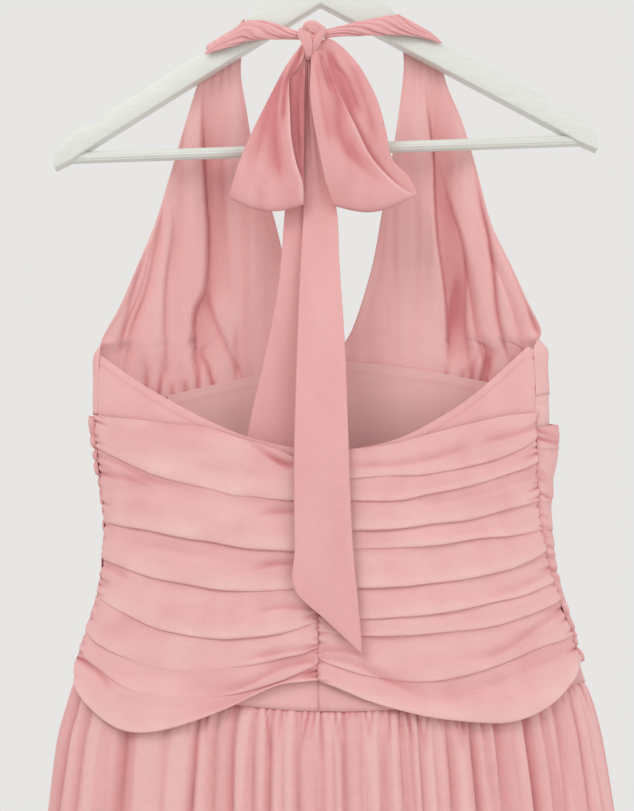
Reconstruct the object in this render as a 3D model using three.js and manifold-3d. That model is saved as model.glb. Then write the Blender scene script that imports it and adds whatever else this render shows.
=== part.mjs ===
// A halter dress with a ruched bodice and a gathered skirt, hung by its neck ties on a wooden hanger.
// Units are millimetres, +Z is up, and the origin is the inside top of the hook, where a rail carries it.
// The dress's back faces -Y. Its front, which the open back shows from inside, faces +Y.
import * as THREE from "three";
import { mergeVertices } from "three/addons/utils/BufferGeometryUtils.js";
import Module from "manifold-3d";

// Driving dimensions
const clothWall = 1.5;
const thinWall = 1.2;
const seamGap = 0.3;
const gatherGap = 0.8; // between a gathered edge and the smooth one it is sewn to
const overlayGap = 1.2; // between the ruched overlays, whose edges ripple
const hangerTilt = THREE.MathUtils.degToRad(2.0); // the hanger hangs with its left end low
const woodCentre = -3.5; // the hook's bend sits a little to one side of its stem
const woodThickness = 14;
const woodBevel = 2;
const barRadius = 4.8;
const barHalfLength = 211;
const barHeight = -223;
const wireRadius = 2;
const hookRadius = 20; // to the middle of the wire
const stemFoot = -74;
const holeClearance = 0.3;
const stemHoleLength = 40;
const wireSteps = 36;
const hemHeight = -1325;
const skirtFolds = 21; // gathers on each half of the skirt

// The body is a flat oval at each height. left and right are its sides, back and front its depths.
const bodySections = [
  { height: -374, left: -184, right: 185, back: 25, front: 37 },
  { height: -400, left: -185.5, right: 186, back: 28, front: 36 },
  { height: -435, left: -186, right: 187, back: 31, front: 35 },
  { height: -475, left: -181.5, right: 186, back: 33, front: 35 },
  { height: -525, left: -174, right: 184, back: 34, front: 36 },
  { height: -565, left: -175, right: 187, back: 35, front: 37 },
  { height: -600, left: -181.5, right: 196, back: 37, front: 39 },
  { height: -633, left: -192, right: 206, back: 39, front: 41 },
  { height: -660, left: -199, right: 214.5, back: 40, front: 43 },
  { height: -685, left: -206, right: 221.5, back: 42, front: 45 },
  { height: -705, left: -211, right: 226, back: 44, front: 47 },
  { height: -762, left: -218, right: 235, back: 48, front: 51 },
  { height: -1000, left: -249, right: 269, back: 56, front: 59 },
  { height: -1325, left: -281, right: 303, back: 63, front: 66 },
];

// Where the side seams lie round the oval, in degrees from the middle of the back, positive to the right.
// The seam down the middle of the back hangs straight instead.
const sideSeams = [
  { height: -374, left: -77, right: 70 },
  { height: -435, left: -78, right: 69 },
  { height: -458, left: -79, right: 67 },
  { height: -516, left: -84, right: 70 },
  { height: -578, left: -87, right: 76.5 },
  { height: -641, left: -88, right: 82 },
  { height: -1325, left: -88, right: 82 },
];
const backSeamSide = -2;
const middleFront = 178;

// Heights of the rows down each seam, from the top edge of the back to the waist seam. Every panel that
// meets there has its rows at these, so that the two edges stay together.
const seamRows = {
  left: [-394, -418, -441, -478, -515, -552, -588, -625, -659],
  right: [-389, -408, -427, -466, -505, -544, -583, -622, -660],
  back: [-474, -500, -525, -551, -577, -603, -629, -655, -680],
};
const rowsAboveBust = 2;

// The top edge of the back, dipping to the middle
const backTopEdge = [
  { side: -182, height: -394 },
  { side: -126, height: -431 },
  { side: -61, height: -463 },
  { side: -2, height: -474 },
  { side: 59, height: -466 },
  { side: 110, height: -439 },
  { side: 169, height: -389 },
];

// The seam under the bust and the dropped waist seam. A side past the silhouette counts on round the body.
const bustSeam = [
  { side: -190, height: -441 },
  { side: -120, height: -423 },
  { side: -62, height: -409 },
  { side: 7, height: -395 },
  { side: 80, height: -401.5 },
  { side: 144, height: -414.5 },
  { side: 186, height: -423 },
  { side: 204, height: -427 },
];
const backWaistSeam = [
  { side: -199, height: -659 },
  { side: -127, height: -667.5 },
  { side: -2, height: -680 },
  { side: 129, height: -672.5 },
  { side: 212.5, height: -660 },
];
const frontWaistSeam = [
  { side: -200, height: -659 },
  { side: -120, height: -675 },
  { side: 8, height: -686 },
  { side: 125, height: -675 },
  { side: 216.5, height: -660 },
];

// Ruched folds. Each row is the crease under one fold: its height at the side seam, a third and two thirds
// of the way across, and at the other seam, and how far the fold stands proud of the body.
const leftBackFolds = [
  { side: -444, third: -451, twoThirds: -464.5, centre: -490, proud: 2.0 },
  { side: -470.5, third: -496, twoThirds: -509, centre: -513.5, proud: 5.0 },
  { side: -531, third: -539.5, twoThirds: -550.5, centre: -555, proud: 6.5 },
  { side: -559, third: -577, twoThirds: -584.5, centre: -581, proud: 6.0 },
  { side: -589.5, third: -614, twoThirds: -622, centre: -609.5, proud: 6.5 },
  { side: -615.5, third: -646, twoThirds: -647.5, centre: -629.5, proud: 5.0 },
  { side: -631.5, third: -667, twoThirds: -666.5, centre: -643, proud: 5.0 },
  { side: -642.5, third: -695.5, twoThirds: -676, centre: -655.5, proud: 4.0 },
];
const rightBackFolds = [
  { side: -441.5, third: -454, twoThirds: -468, centre: -474, proud: 2.0 },
  { side: -462, third: -487.5, twoThirds: -494.5, centre: -498, proud: 5.0 },
  { side: -481.5, third: -503, twoThirds: -513.5, centre: -513, proud: 5.0 },
  { side: -513, third: -528, twoThirds: -536.5, centre: -537, proud: 5.5 },
  { side: -536.5, third: -544.5, twoThirds: -551.5, centre: -554, proud: 5.5 },
  { side: -552.5, third: -574, twoThirds: -582, centre: -583, proud: 6.0 },
  { side: -578, third: -596.5, twoThirds: -606, centre: -604, proud: 6.0 },
  { side: -592.5, third: -614, twoThirds: -621, centre: -617.5, proud: 5.5 },
  { side: -620.5, third: -643.5, twoThirds: -656.5, centre: -638.5, proud: 5.0 },
  { side: -640, third: -685, twoThirds: -681, centre: -655.5, proud: 4.0 },
];
const frontFolds = [
  { side: -455, third: -430, twoThirds: -428, centre: -445, proud: 2.5 },
  { side: -472, third: -467, twoThirds: -464, centre: -469, proud: 6.5 },
  { side: -492, third: -496, twoThirds: -493, centre: -493, proud: 6.0 },
  { side: -514, third: -524, twoThirds: -521, centre: -517, proud: 5.5 },
  { side: -536, third: -551, twoThirds: -548, centre: -541, proud: 5.5 },
  { side: -556, third: -579, twoThirds: -577, centre: -564, proud: 5.5 },
  { side: -578, third: -607, twoThirds: -606, centre: -586, proud: 5.5 },
  { side: -600, third: -636, twoThirds: -637, centre: -607, proud: 5.0 },
  { side: -622, third: -666, twoThirds: -667, centre: -628, proud: 4.5 },
  { side: -641, third: -693, twoThirds: -692, centre: -644, proud: 4.0 },
];

// The front halter panels, from just under the hanger's arm down to the seam under the bust: the neckline
// edge is in and the armhole edge out, each at its own height. atSeam says that the outer edge has reached
// the side seam. belly is how far the panel stands out to the front.
const rightPanel = [
  { inSide: 69.5, inHeight: -146, outSide: 105, outHeight: -165, belly: 10.6 },
  { inSide: 65.5, inHeight: -187, outSide: 117, outHeight: -194, belly: 13 },
  { inSide: 59.5, inHeight: -227, outSide: 129, outHeight: -232, belly: 19 },
  { inSide: 51.5, inHeight: -271, outSide: 142.5, outHeight: -281, belly: 27 },
  { inSide: 44.5, inHeight: -310, outSide: 158.5, outHeight: -316, belly: 33 },
  { inSide: 35, inHeight: -344, outSide: 172, outHeight: -348, belly: 37 },
  { inSide: 26, inHeight: -369, outSide: 182, outHeight: -373, belly: 38 },
  { inSide: 16.5, inHeight: -384, atSeam: true, outHeight: -389, belly: 37.5 },
  { inSide: 11, inHeight: -391, atSeam: true, outHeight: -408, belly: 36.5 },
];
const leftPanel = [
  { inSide: -66.5, inHeight: -154, outSide: -106, outHeight: -177, belly: 10.6 },
  { inSide: -61.5, inHeight: -188, outSide: -114, outHeight: -203, belly: 13 },
  { inSide: -54.5, inHeight: -227, outSide: -124, outHeight: -236, belly: 19 },
  { inSide: -40, inHeight: -271, outSide: -138, outHeight: -281, belly: 27 },
  { inSide: -30, inHeight: -310, outSide: -153.5, outHeight: -319, belly: 33 },
  { inSide: -20.5, inHeight: -342, outSide: -167, outHeight: -352, belly: 37 },
  { inSide: -10.5, inHeight: -367, outSide: -179.5, outHeight: -378, belly: 38 },
  { inSide: -2, inHeight: -382, atSeam: true, outHeight: -394, belly: 37.5 },
  { inSide: 3, inHeight: -390, atSeam: true, outHeight: -418, belly: 36.5 },
];

// Soft folds run down each panel. They are deepest half way down and run out beside its two edges.
const panelFolds = 5;
const shallowFold = 0.5;
const foldSwell = 2.1;
const foldDrift = 0.04;
const flatEdge = 0.12; // as a share of the width
const plainEnd = 0.05; // of the gathered seam, beside each edge

// The straps over the hanger's arms: how far out along the arm from the wood's middle their inner and outer
// edges lie, their lift above the arm's top edge and their place through its thickness.
const strapRows = [
  { inner: 65, outer: 94, lift: -2.5, depth: -9.3 },
  { inner: 64, outer: 95, lift: 2.4, depth: -7.6 },
  { inner: 64, outer: 96, lift: 3.6, depth: 0 },
  { inner: 64, outer: 97, lift: 2.4, depth: 7.6 },
  { inner: 64, outer: 98, lift: -3, depth: 9.5 },
];
// Where each strap is drawn together to meet its tie, from the seam outwards
const strapEnds = {
  left: [
    { inSide: -47.8, inHeight: -119.5, outSide: -48.8, outHeight: -136.5, depth: -12 },
    { inSide: -54.5, inHeight: -119.5, outSide: -75, outHeight: -142, depth: -10.7 },
  ],
  right: [
    { inSide: 66.9, inHeight: -114.5, outSide: 67.4, outHeight: -131, depth: -12 },
    { inSide: 71, inHeight: -115.5, outSide: 86, outHeight: -135, depth: -10.7 },
  ],
};

// The ties, from the straps to the knot: the middle of each section, its height and its thickness
const leftTie = [
  { side: -47.4, depth: -12, height: -128.2, tall: 15.5, thick: 5 },
  { side: -41, depth: -12.6, height: -128.6, tall: 13, thick: 6 },
  { side: -33, depth: -13.4, height: -129.7, tall: 10.5, thick: 6.5 },
  { side: -25, depth: -14.2, height: -131, tall: 7.6, thick: 6.5 },
  { side: -18, depth: -15, height: -131.6, tall: 6.6, thick: 6 },
];
const rightTie = [
  { side: 65.6, depth: -12, height: -122.8, tall: 15.5, thick: 5 },
  { side: 56, depth: -12.6, height: -123.6, tall: 14.5, thick: 6 },
  { side: 44, depth: -13.2, height: -124.8, tall: 12.8, thick: 6.5 },
  { side: 30, depth: -14, height: -126.4, tall: 10.6, thick: 6.5 },
  { side: 16, depth: -14.6, height: -128.2, tall: 8.4, thick: 6.5 },
  { side: 3, depth: -15, height: -130, tall: 7, thick: 6 },
];
const knotRows = [
  { height: -121.5, middle: -6.6, wide: 3.4, thick: 4 },
  { height: -123.5, middle: -6.8, wide: 6.6, thick: 6.2 },
  { height: -128, middle: -7.2, wide: 9.4, thick: 8 },
  { height: -134, middle: -7.4, wide: 10, thick: 8.4 },
  { height: -140, middle: -7.6, wide: 8.2, thick: 8 },
  { height: -147, middle: -8.6, wide: 5.4, thick: 7 },
  { height: -151.5, middle: -9.6, wide: 3.2, thick: 5 },
];
const knotDepth = -15.4;

// The bow's loops, from the knot down: the sides of the front layer, and how far forward each layer lies.
// spread moves the back layer's outer side further out.
const leftLoop = [
  { height: -147, left: -24, right: -14.5, front: -19, back: -14.6, spread: 0 },
  { height: -159.5, left: -30, right: -14.6, front: -22, back: -15, spread: 0 },
  { height: -180.5, left: -40, right: -14.4, front: -25, back: -15, spread: -0.5 },
  { height: -207.5, left: -53.5, right: -14.4, front: -28, back: -15.4, spread: -1 },
  { height: -234.5, left: -66, right: -14.5, front: -29, back: -16, spread: -1 },
  { height: -254.5, left: -71.5, right: -15, front: -29, back: -16.5, spread: -0.5 },
  { height: -268, left: -73, right: -15.5, front: -27, back: -18, spread: 0 },
];
const rightLoop = [
  { height: -147, left: -2.6, right: 9.5, front: -21, back: -16.6, spread: 0 },
  { height: -163, left: -6.5, right: 24, front: -25, back: -18, spread: 5 },
  { height: -183, left: -7.5, right: 33.5, front: -29, back: -19, spread: 8.5 },
  { height: -212, left: -6, right: 44.5, front: -32, back: -19.6, spread: 8.5 },
  { height: -239, left: -2, right: 55, front: -33, back: -20, spread: 7 },
  { height: -260, left: 2, right: 68, front: -32, back: -20, spread: 5 },
  { height: -267, left: 6, right: 74, front: -29, back: -22, spread: 2 },
];
const loopSag = { left: 9.5, right: 11 }; // the bottom edge hangs this far below its ends
const loopTilt = { left: -6, right: 9 }; // and its end away from the tails is this much higher or lower

// The two free tails, from the knot down. Each edge has its own place and height.
const outerTail = [
  { left: -11.6, leftHeight: -152, right: -6.6, rightHeight: -152, depth: -14.2 },
  { left: -13.2, leftHeight: -177, right: -4, rightHeight: -177, depth: -12.4 },
  { left: -13.4, leftHeight: -226, right: 4, rightHeight: -226, depth: -11.6 },
  { left: -14, leftHeight: -279, right: 13.4, rightHeight: -279, depth: -13.5 },
  { left: -16.3, leftHeight: -322, right: 15.4, rightHeight: -322, depth: -18 },
  { left: -18.8, leftHeight: -390, right: 19.5, rightHeight: -390, depth: -30 },
  { left: -20.8, leftHeight: -468, right: 22, rightHeight: -468, depth: -44.5 },
  { left: -21, leftHeight: -502, right: 23, rightHeight: -502, depth: -47 },
  { left: -20.5, leftHeight: -553, right: 25.5, rightHeight: -553, depth: -48 },
  { left: -20, leftHeight: -585.5, right: 30, rightHeight: -602, depth: -49.6 },
  { left: 4.5, leftHeight: -609, right: 31.5, rightHeight: -622.5, depth: -51 },
  { left: 30, leftHeight: -632.5, right: 31.6, rightHeight: -634, depth: -52 },
];
const innerTail = [
  { left: -13.4, leftHeight: -152, right: -8, rightHeight: -152, depth: -10.4 },
  { left: -17, leftHeight: -176, right: -6, rightHeight: -176, depth: -8.8 },
  { left: -25.5, leftHeight: -225, right: -4, rightHeight: -225, depth: -7.8 },
  { left: -29.5, leftHeight: -279, right: -8, rightHeight: -279, depth: -8.6 },
  { left: -34, leftHeight: -335, right: -5, rightHeight: -335, depth: -10.5 },
  { left: -42, leftHeight: -382, right: 0, rightHeight: -382, depth: -12 },
  { left: -59, leftHeight: -460, right: 8, rightHeight: -460, depth: -14.5 },
  { left: -67, leftHeight: -529, right: 12.5, rightHeight: -529, depth: -16 },
  { left: -72.5, leftHeight: -587, right: 17.5, rightHeight: -623, depth: -17 },
];
const tailCurl = 1.5;
const fullCurlWidth = 40;

// The right half of the hanger's outline, from the top middle out to the tip and back to the peak below
const woodOutline = [
  { side: 0, height: -56 },
  { side: 14, height: -58 },
  { side: 27, height: -64 },
  { side: 38, height: -73 },
  { side: 47, height: -86 },
  { side: 53.5, height: -99 },
  { side: 57, height: -106 },
  { side: 62, height: -113.5 },
  { side: 70, height: -122 },
  { side: 181.5, height: -187.5 },
  { side: 183.5, height: -194 },
  { side: 187, height: -197.4 },
  { side: 190.5, height: -196 },
  { side: 194, height: -194.5 },
  { side: 205, height: -200.8 },
  { side: 215, height: -208.5 },
  { side: 222, height: -219 },
  { side: 224.5, height: -229 },
  { side: 223.5, height: -233 },
  { side: 209, height: -226 },
  { side: 190, height: -214 },
  { side: 0, height: -102 },
];

// The hook's wire, from its foot in the wood to where its bend begins, and then round the bend in degrees
const hookStem = [
  { side: woodCentre, height: stemFoot },
  { side: woodCentre, height: stemFoot + 16 },
  { side: woodCentre, height: -46 },
  { side: 3, height: -39.6 },
];
const hookBend = { from: -42, to: 206, step: 15.5 };

// Materials
const cloth = new THREE.MeshStandardMaterial({ color: 0xe6b2b0, roughness: 0.85, metalness: 0 });
const paintedWood = new THREE.MeshStandardMaterial({ color: 0xe4e6df, roughness: 0.45, metalness: 0 });
const steel = new THREE.MeshStandardMaterial({ color: 0xc4c6c8, roughness: 0.3, metalness: 1 });

const wasm = await Module();
wasm.setup();

// Smooth values between the rows of a table, by the column named key
function lookUp(table, key, value, column) {
  const rising = table[table.length - 1][key] > table[0][key];
  const last = table.length - 2;
  let i = table.findIndex((row) => (rising ? row[key] > value : row[key] < value)) - 1;
  if (i < 0) i = (rising ? value > table[0][key] : value < table[0][key]) ? last : 0;
  i = Math.min(i, last);
  const [a, b] = [table[i], table[i + 1]];
  const before = table[Math.max(0, i - 1)];
  const after = table[Math.min(table.length - 1, i + 2)];
  const span = b[key] - a[key];
  const t = THREE.MathUtils.clamp((value - a[key]) / span, 0, 1);
  const slopeA = ((b[column] - before[column]) / (b[key] - before[key])) * span;
  const slopeB = ((after[column] - a[column]) / (after[key] - a[key])) * span;
  const tt = t * t;
  const ttt = tt * t;
  return (
    (2 * ttt - 3 * tt + 1) * a[column] +
    (ttt - 2 * tt + t) * slopeA +
    (3 * tt - 2 * ttt) * b[column] +
    (ttt - tt) * slopeB
  );
}

function sectionAt(height) {
  const value = (column) => lookUp(bodySections, "height", height, column);
  const [left, right] = [value("left"), value("right")];
  const [middle, half] = [(left + right) / 2, (right - left) / 2];
  return { middle, half, back: value("back"), front: value("front") };
}

// A point on the body's oval, moved out by offset
function bodyPoint(angle, height, offset = 0) {
  const section = sectionAt(height);
  const turn = THREE.MathUtils.degToRad(angle);
  const depth = Math.cos(turn) > 0 ? section.back : section.front;
  return new THREE.Vector3(
    section.middle + (section.half + offset) * Math.sin(turn),
    -(depth + offset) * Math.cos(turn),
    height,
  );
}

function bodyTangent(angle, height) {
  const step = 0.5;
  return bodyPoint(angle + step, height).sub(bodyPoint(angle - step, height)).normalize();
}

// How far an angle on the front is to the side, counting on round the body past the silhouette
function frontReach(angle, height) {
  const section = sectionAt(height);
  const sine = Math.sin(THREE.MathUtils.degToRad(angle));
  if (angle < 90) return section.middle + section.half * (2 - sine);
  if (angle > 270) return section.middle - section.half * (2 + sine);
  return section.middle + section.half * sine;
}

function seamAngle(seam, height) {
  if (seam === "back") {
    const section = sectionAt(height);
    return THREE.MathUtils.radToDeg(Math.asin((backSeamSide - section.middle) / section.half));
  }
  if (seam === "leftRoundFront") return 360 + seamAngle("left", height);
  return lookUp(sideSeams, "height", height, seam);
}

// The turn, in degrees, that takes a distance along the oval
function turnOf(distance, angle, height) {
  const arc = bodyPoint(angle + 0.5, height).distanceTo(bodyPoint(angle - 0.5, height));
  return distance / arc;
}

// An angle between two seams, a share of the way from one to the other
function angleBetween([from, to], share, height, gap = seamGap) {
  const first = seamAngle(from, height);
  const last = seamAngle(to, height);
  const start = first + turnOf(gap / 2, first, height);
  return THREE.MathUtils.lerp(start, last - turnOf(gap / 2, last, height), share);
}

function sharesAcross(columns) {
  return Array.from({ length: columns + 1 }, (_, c) => c / columns);
}

function meshOf(name, points, faces, material) {
  const geometry = new THREE.BufferGeometry();
  geometry.setAttribute("position", new THREE.Float32BufferAttribute(points.flatMap((p) => p.toArray()), 3));
  geometry.setIndex(faces);
  geometry.computeVertexNormals();
  const mesh = new THREE.Mesh(geometry, material);
  mesh.name = name;
  return mesh;
}

// A closed wall of cloth. grid[row][column] holds its outer points, with rows going down and columns to the
// right as seen from outside. The inner points lie one wall behind. tangents, where given, keeps the two
// side edges square to the oval, so that neighbours stay a seam's gap apart.
function clothWallMesh(
  name,
  grid,
  { wall = clothWall, tangents = null, levelTop = false, levelBottom = false },
) {
  const rows = grid.length;
  const columns = grid[0].length;
  const outer = grid.flat();
  const inner = [];
  for (let r = 0; r < rows; r++) {
    for (let c = 0; c < columns; c++) {
      const down = grid[Math.min(rows - 1, r + 1)][c].clone().sub(grid[Math.max(0, r - 1)][c]);
      let across = grid[r][Math.min(columns - 1, c + 1)].clone().sub(grid[r][Math.max(0, c - 1)]);
      if (tangents && (c === 0 || c === columns - 1)) across = tangents(r, c) ?? across;
      const normal = down.cross(across);
      if ((r === 0 && levelTop) || (r === rows - 1 && levelBottom)) normal.z = 0;
      inner.push(grid[r][c].clone().addScaledVector(normal.normalize(), -wall));
    }
  }
  const count = outer.length;
  const faces = [];
  const quad = (a, b, c, d) => faces.push(a, b, c, a, c, d);
  for (let r = 0; r < rows - 1; r++) {
    for (let c = 0; c < columns - 1; c++) {
      const at = r * columns + c;
      quad(at, at + columns, at + columns + 1, at + 1);
      quad(count + at, count + at + 1, count + at + columns + 1, count + at + columns);
    }
  }
  const bottom = (rows - 1) * columns;
  for (let c = 0; c < columns - 1; c++) {
    quad(c, c + 1, count + c + 1, count + c);
    quad(bottom + c + 1, bottom + c, count + bottom + c, count + bottom + c + 1);
  }
  for (let r = 0; r < rows - 1; r++) {
    const left = r * columns;
    const right = left + columns - 1;
    quad(count + left, count + left + columns, left + columns, left);
    quad(right, right + columns, count + right + columns, count + right);
  }
  return meshOf(name, [...outer, ...inner], faces, cloth);
}

// A closed stack of rings, each a loop of points, with a point in the middle of each end
function ringStackMesh(name, rings, material) {
  const sides = rings[0].length;
  const points = rings.flat();
  const middleOf = (ring) => ring.reduce((sum, p) => sum.add(p), new THREE.Vector3()).divideScalar(sides);
  const last = (rings.length - 1) * sides;
  const faces = [];
  for (let k = 0; k < sides; k++) {
    const next = (k + 1) % sides;
    for (let r = 0; r < rings.length - 1; r++) {
      const [a, b] = [r * sides + k, r * sides + next];
      faces.push(a, a + sides, b + sides, a, b + sides, b);
    }
    faces.push(points.length, k, next, points.length + 1, last + next, last + k);
  }
  points.push(middleOf(rings[0]), middleOf(rings[rings.length - 1]));
  return meshOf(name, points, faces, material);
}

// Hanger
function fromHanger(side, depth, height) {
  return new THREE.Vector3(
    side * Math.cos(hangerTilt) - height * Math.sin(hangerTilt),
    depth,
    side * Math.sin(hangerTilt) + height * Math.cos(hangerTilt),
  );
}

function armTopHeight(out) {
  const next = woodOutline.findIndex((row) => row.side >= out);
  const [a, b] = [woodOutline[next - 1], woodOutline[next]];
  return THREE.MathUtils.mapLinear(out, a.side, b.side, a.height, b.height);
}

function solidOf(geometry) {
  const bare = geometry.clone().deleteAttribute("normal").deleteAttribute("uv");
  const merged = mergeVertices(bare, 1e-3);
  return new wasm.Manifold(
    new wasm.Mesh({
      numProp: 3,
      vertProperties: merged.attributes.position.array,
      triVerts: new Uint32Array(merged.index.array),
    }),
  );
}

function geometryOf(solid) {
  const made = solid.getMesh();
  const geometry = new THREE.BufferGeometry();
  geometry.setAttribute("position", new THREE.BufferAttribute(new Float32Array(made.vertProperties), 3));
  geometry.setIndex(new THREE.BufferAttribute(new Uint32Array(made.triVerts), 1));
  geometry.computeVertexNormals();
  return geometry;
}

function hangerWood() {
  const right = woodOutline.map((p) => new THREE.Vector2(p.side, p.height));
  const left = right.slice(1, -1).reverse().map((p) => new THREE.Vector2(-p.x, p.y));
  const outline = new THREE.Shape([...right, ...left]);
  const slab = new THREE.ExtrudeGeometry(outline, {
    depth: woodThickness - 2 * woodBevel,
    bevelThickness: woodBevel,
    bevelSize: woodBevel,
    bevelOffset: -woodBevel,
    bevelSegments: 1,
    steps: 1,
  });
  slab.rotateX(Math.PI / 2).translate(0, woodThickness / 2 - woodBevel, 0);
  const holeRadius = wireRadius + holeClearance;
  const stemHole = new THREE.CylinderGeometry(holeRadius, holeRadius, stemHoleLength, 12);
  stemHole.rotateX(Math.PI / 2).translate(0, 0, stemFoot - holeClearance + stemHoleLength / 2);
  const socketRadius = barRadius + holeClearance;
  const socketLength = 2 * (barHalfLength + holeClearance);
  const socket = new THREE.CylinderGeometry(socketRadius, socketRadius, socketLength, 20);
  socket.rotateZ(Math.PI / 2).translate(0, 0, barHeight);
  const drilled = solidOf(slab).subtract(solidOf(stemHole)).subtract(solidOf(socket));
  const mesh = new THREE.Mesh(geometryOf(drilled), paintedWood);
  mesh.name = "hanger_wood";
  mesh.position.x = woodCentre;
  return mesh;
}

function hangerBar() {
  const bar = new THREE.CylinderGeometry(barRadius, barRadius, 2 * barHalfLength, 16);
  bar.rotateZ(Math.PI / 2).translate(0, 0, barHeight);
  const mesh = new THREE.Mesh(bar, paintedWood);
  mesh.name = "hanger_bar";
  mesh.position.x = woodCentre;
  return mesh;
}

function hangerHook() {
  const centre = wireRadius - hookRadius;
  const stem = hookStem.map((row) => new THREE.Vector3(row.side, 0, row.height));
  const bend = [];
  for (let angle = hookBend.from; angle <= hookBend.to; angle += hookBend.step) {
    const turn = THREE.MathUtils.degToRad(angle);
    bend.push(new THREE.Vector3(hookRadius * Math.cos(turn), 0, centre + hookRadius * Math.sin(turn)));
  }
  const path = new THREE.CatmullRomCurve3([...stem, ...bend]);
  const section = new THREE.Shape().absarc(0, 0, wireRadius, 0, 2 * Math.PI, false);
  const wire = new THREE.ExtrudeGeometry(section, { extrudePath: path, steps: wireSteps, curveSegments: 4 });
  const mesh = new THREE.Mesh(wire, steel);
  mesh.name = "hanger_hook";
  return mesh;
}

// Bodice
const waistReference = -670;
const bustReference = -420;

function backWaistHeight(angle) {
  return lookUp(backWaistSeam, "side", bodyPoint(angle, waistReference).x, "height");
}

function frontWaistHeight(angle) {
  return lookUp(frontWaistSeam, "side", frontReach(angle, waistReference), "height");
}

function backTopHeight(angle) {
  return lookUp(backTopEdge, "side", bodyPoint(angle, bustReference).x, "height");
}

function bustHeight(angle) {
  return lookUp(bustSeam, "side", frontReach(angle, bustReference), "height");
}

// A grid on the body between two seams. Each row has a height and an offset for each share across.
function panelGrid(seams, columns, rows, gap = seamGap) {
  const shares = sharesAcross(columns);
  const grid = [];
  const edges = [];
  for (const row of rows) {
    const angles = shares.map((share) => angleBetween(seams, share, row.heightOf(share), gap));
    grid.push(
      shares.map((share, c) => {
        const height = row.heightOf(share);
        return bodyPoint(angles[c], height, row.offsetOf(share, height, angles[c]));
      }),
    );
    edges.push([bodyTangent(angles[0], row.heightOf(0)), bodyTangent(angles[columns], row.heightOf(1))]);
  }
  return { grid, tangents: (r, c) => edges[r][c === 0 ? 0 : 1] };
}

// A smooth layer of the bodice. Its rows follow the rows of its two seams at the sides, and its own top and
// bottom edges between them.
function band(name, seams, columns, firstRow, topOf, bottomOf) {
  const rowsOf = (seam) => seamRows[seam === "leftRoundFront" ? "left" : seam].slice(firstRow);
  const [left, right] = seams.map(rowsOf);
  const last = left.length - 1;
  const straight = (r, share) => THREE.MathUtils.lerp(left[r], right[r], share);
  const rows = left.map((_, r) => ({
    heightOf: (share) => {
      if (share === 0 || share === 1) return straight(r, share);
      const top = topOf(angleBetween(seams, share, straight(0, share)));
      const bottom = bottomOf(angleBetween(seams, share, straight(last, share)));
      const topShift = top - straight(0, share);
      const bottomShift = bottom - straight(last, share);
      return straight(r, share) + THREE.MathUtils.lerp(topShift, bottomShift, r / last);
    },
    offsetOf: () => 0,
  }));
  const { grid, tangents } = panelGrid(seams, columns, rows);
  return clothWallMesh(name, grid, { tangents, levelTop: true, levelBottom: true });
}

const backColumns = 12;
const frontColumns = 22;

function bands() {
  const front = ["right", "leftRoundFront"];
  return [
    band("back_band_left", ["left", "back"], backColumns, 0, backTopHeight, backWaistHeight),
    band("back_band_right", ["back", "right"], backColumns, 0, backTopHeight, backWaistHeight),
    band("front_band", front, frontColumns, rowsAboveBust, bustHeight, frontWaistHeight),
  ];
}

// The height of a fold's crease a share s of the way across, through its four heights
function creaseHeight(fold, s) {
  const heights = [fold.side, fold.third, fold.twoThirds, fold.centre];
  const places = [0, 1 / 3, 2 / 3, 1];
  return heights.reduce((sum, height, i) => {
    const others = places.filter((_, j) => j !== i);
    const weight = others.reduce((w, place) => (w * (s - place)) / (places[i] - place), 1);
    return sum + height * weight;
  }, 0);
}

// Ruched cloth over the bands. Between two creases it swells to a lip and tucks back in under it, less so
// beside its gathered seams. It stands off the body by ruchedLift, and further out where it hangs over the
// skirt's gathers.
const lipSteps = [
  { t: 0.42, swell: 0.42 },
  { t: 0.84, swell: 1 },
  { t: 1, swell: 0 },
];
const ruchedLift = 2.6;
const overSkirtLift = 6.6;
const liftFrom = 14; // above the waist seam
const liftBy = 4; // below it
const topEdgeProud = 0.6;
const seamSwell = 0.45;
const pinnedWidth = 0.14;

function ruchedOverlay(name, seams, columns, folds, shareOf, waistOf) {
  const swellAt = (s) => THREE.MathUtils.lerp(seamSwell, 1, Math.min(1, Math.min(s, 1 - s) / pinnedWidth));
  const rowOf = (above, below, t, proud) => ({
    heightOf: (share) => {
      const s = shareOf(share, (above.side + above.centre) / 2);
      return THREE.MathUtils.lerp(creaseHeight(above, s), creaseHeight(below, s), t);
    },
    offsetOf: (share, height, angle) => {
      const hanging = THREE.MathUtils.smoothstep(waistOf(angle) - height, -liftFrom, liftBy);
      return THREE.MathUtils.lerp(ruchedLift, overSkirtLift, hanging) + proud * swellAt(share);
    },
  });
  const rows = [rowOf(folds[0], folds[1], 0, topEdgeProud)];
  for (let k = 1; k < folds.length; k++) {
    const [above, below] = [folds[k - 1], folds[k]];
    for (const step of lipSteps) rows.push(rowOf(above, below, step.t, below.proud * step.swell));
  }
  const { grid, tangents } = panelGrid(seams, columns, rows, overlayGap);
  return clothWallMesh(name, grid, { tangents, wall: thinWall });
}

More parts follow.
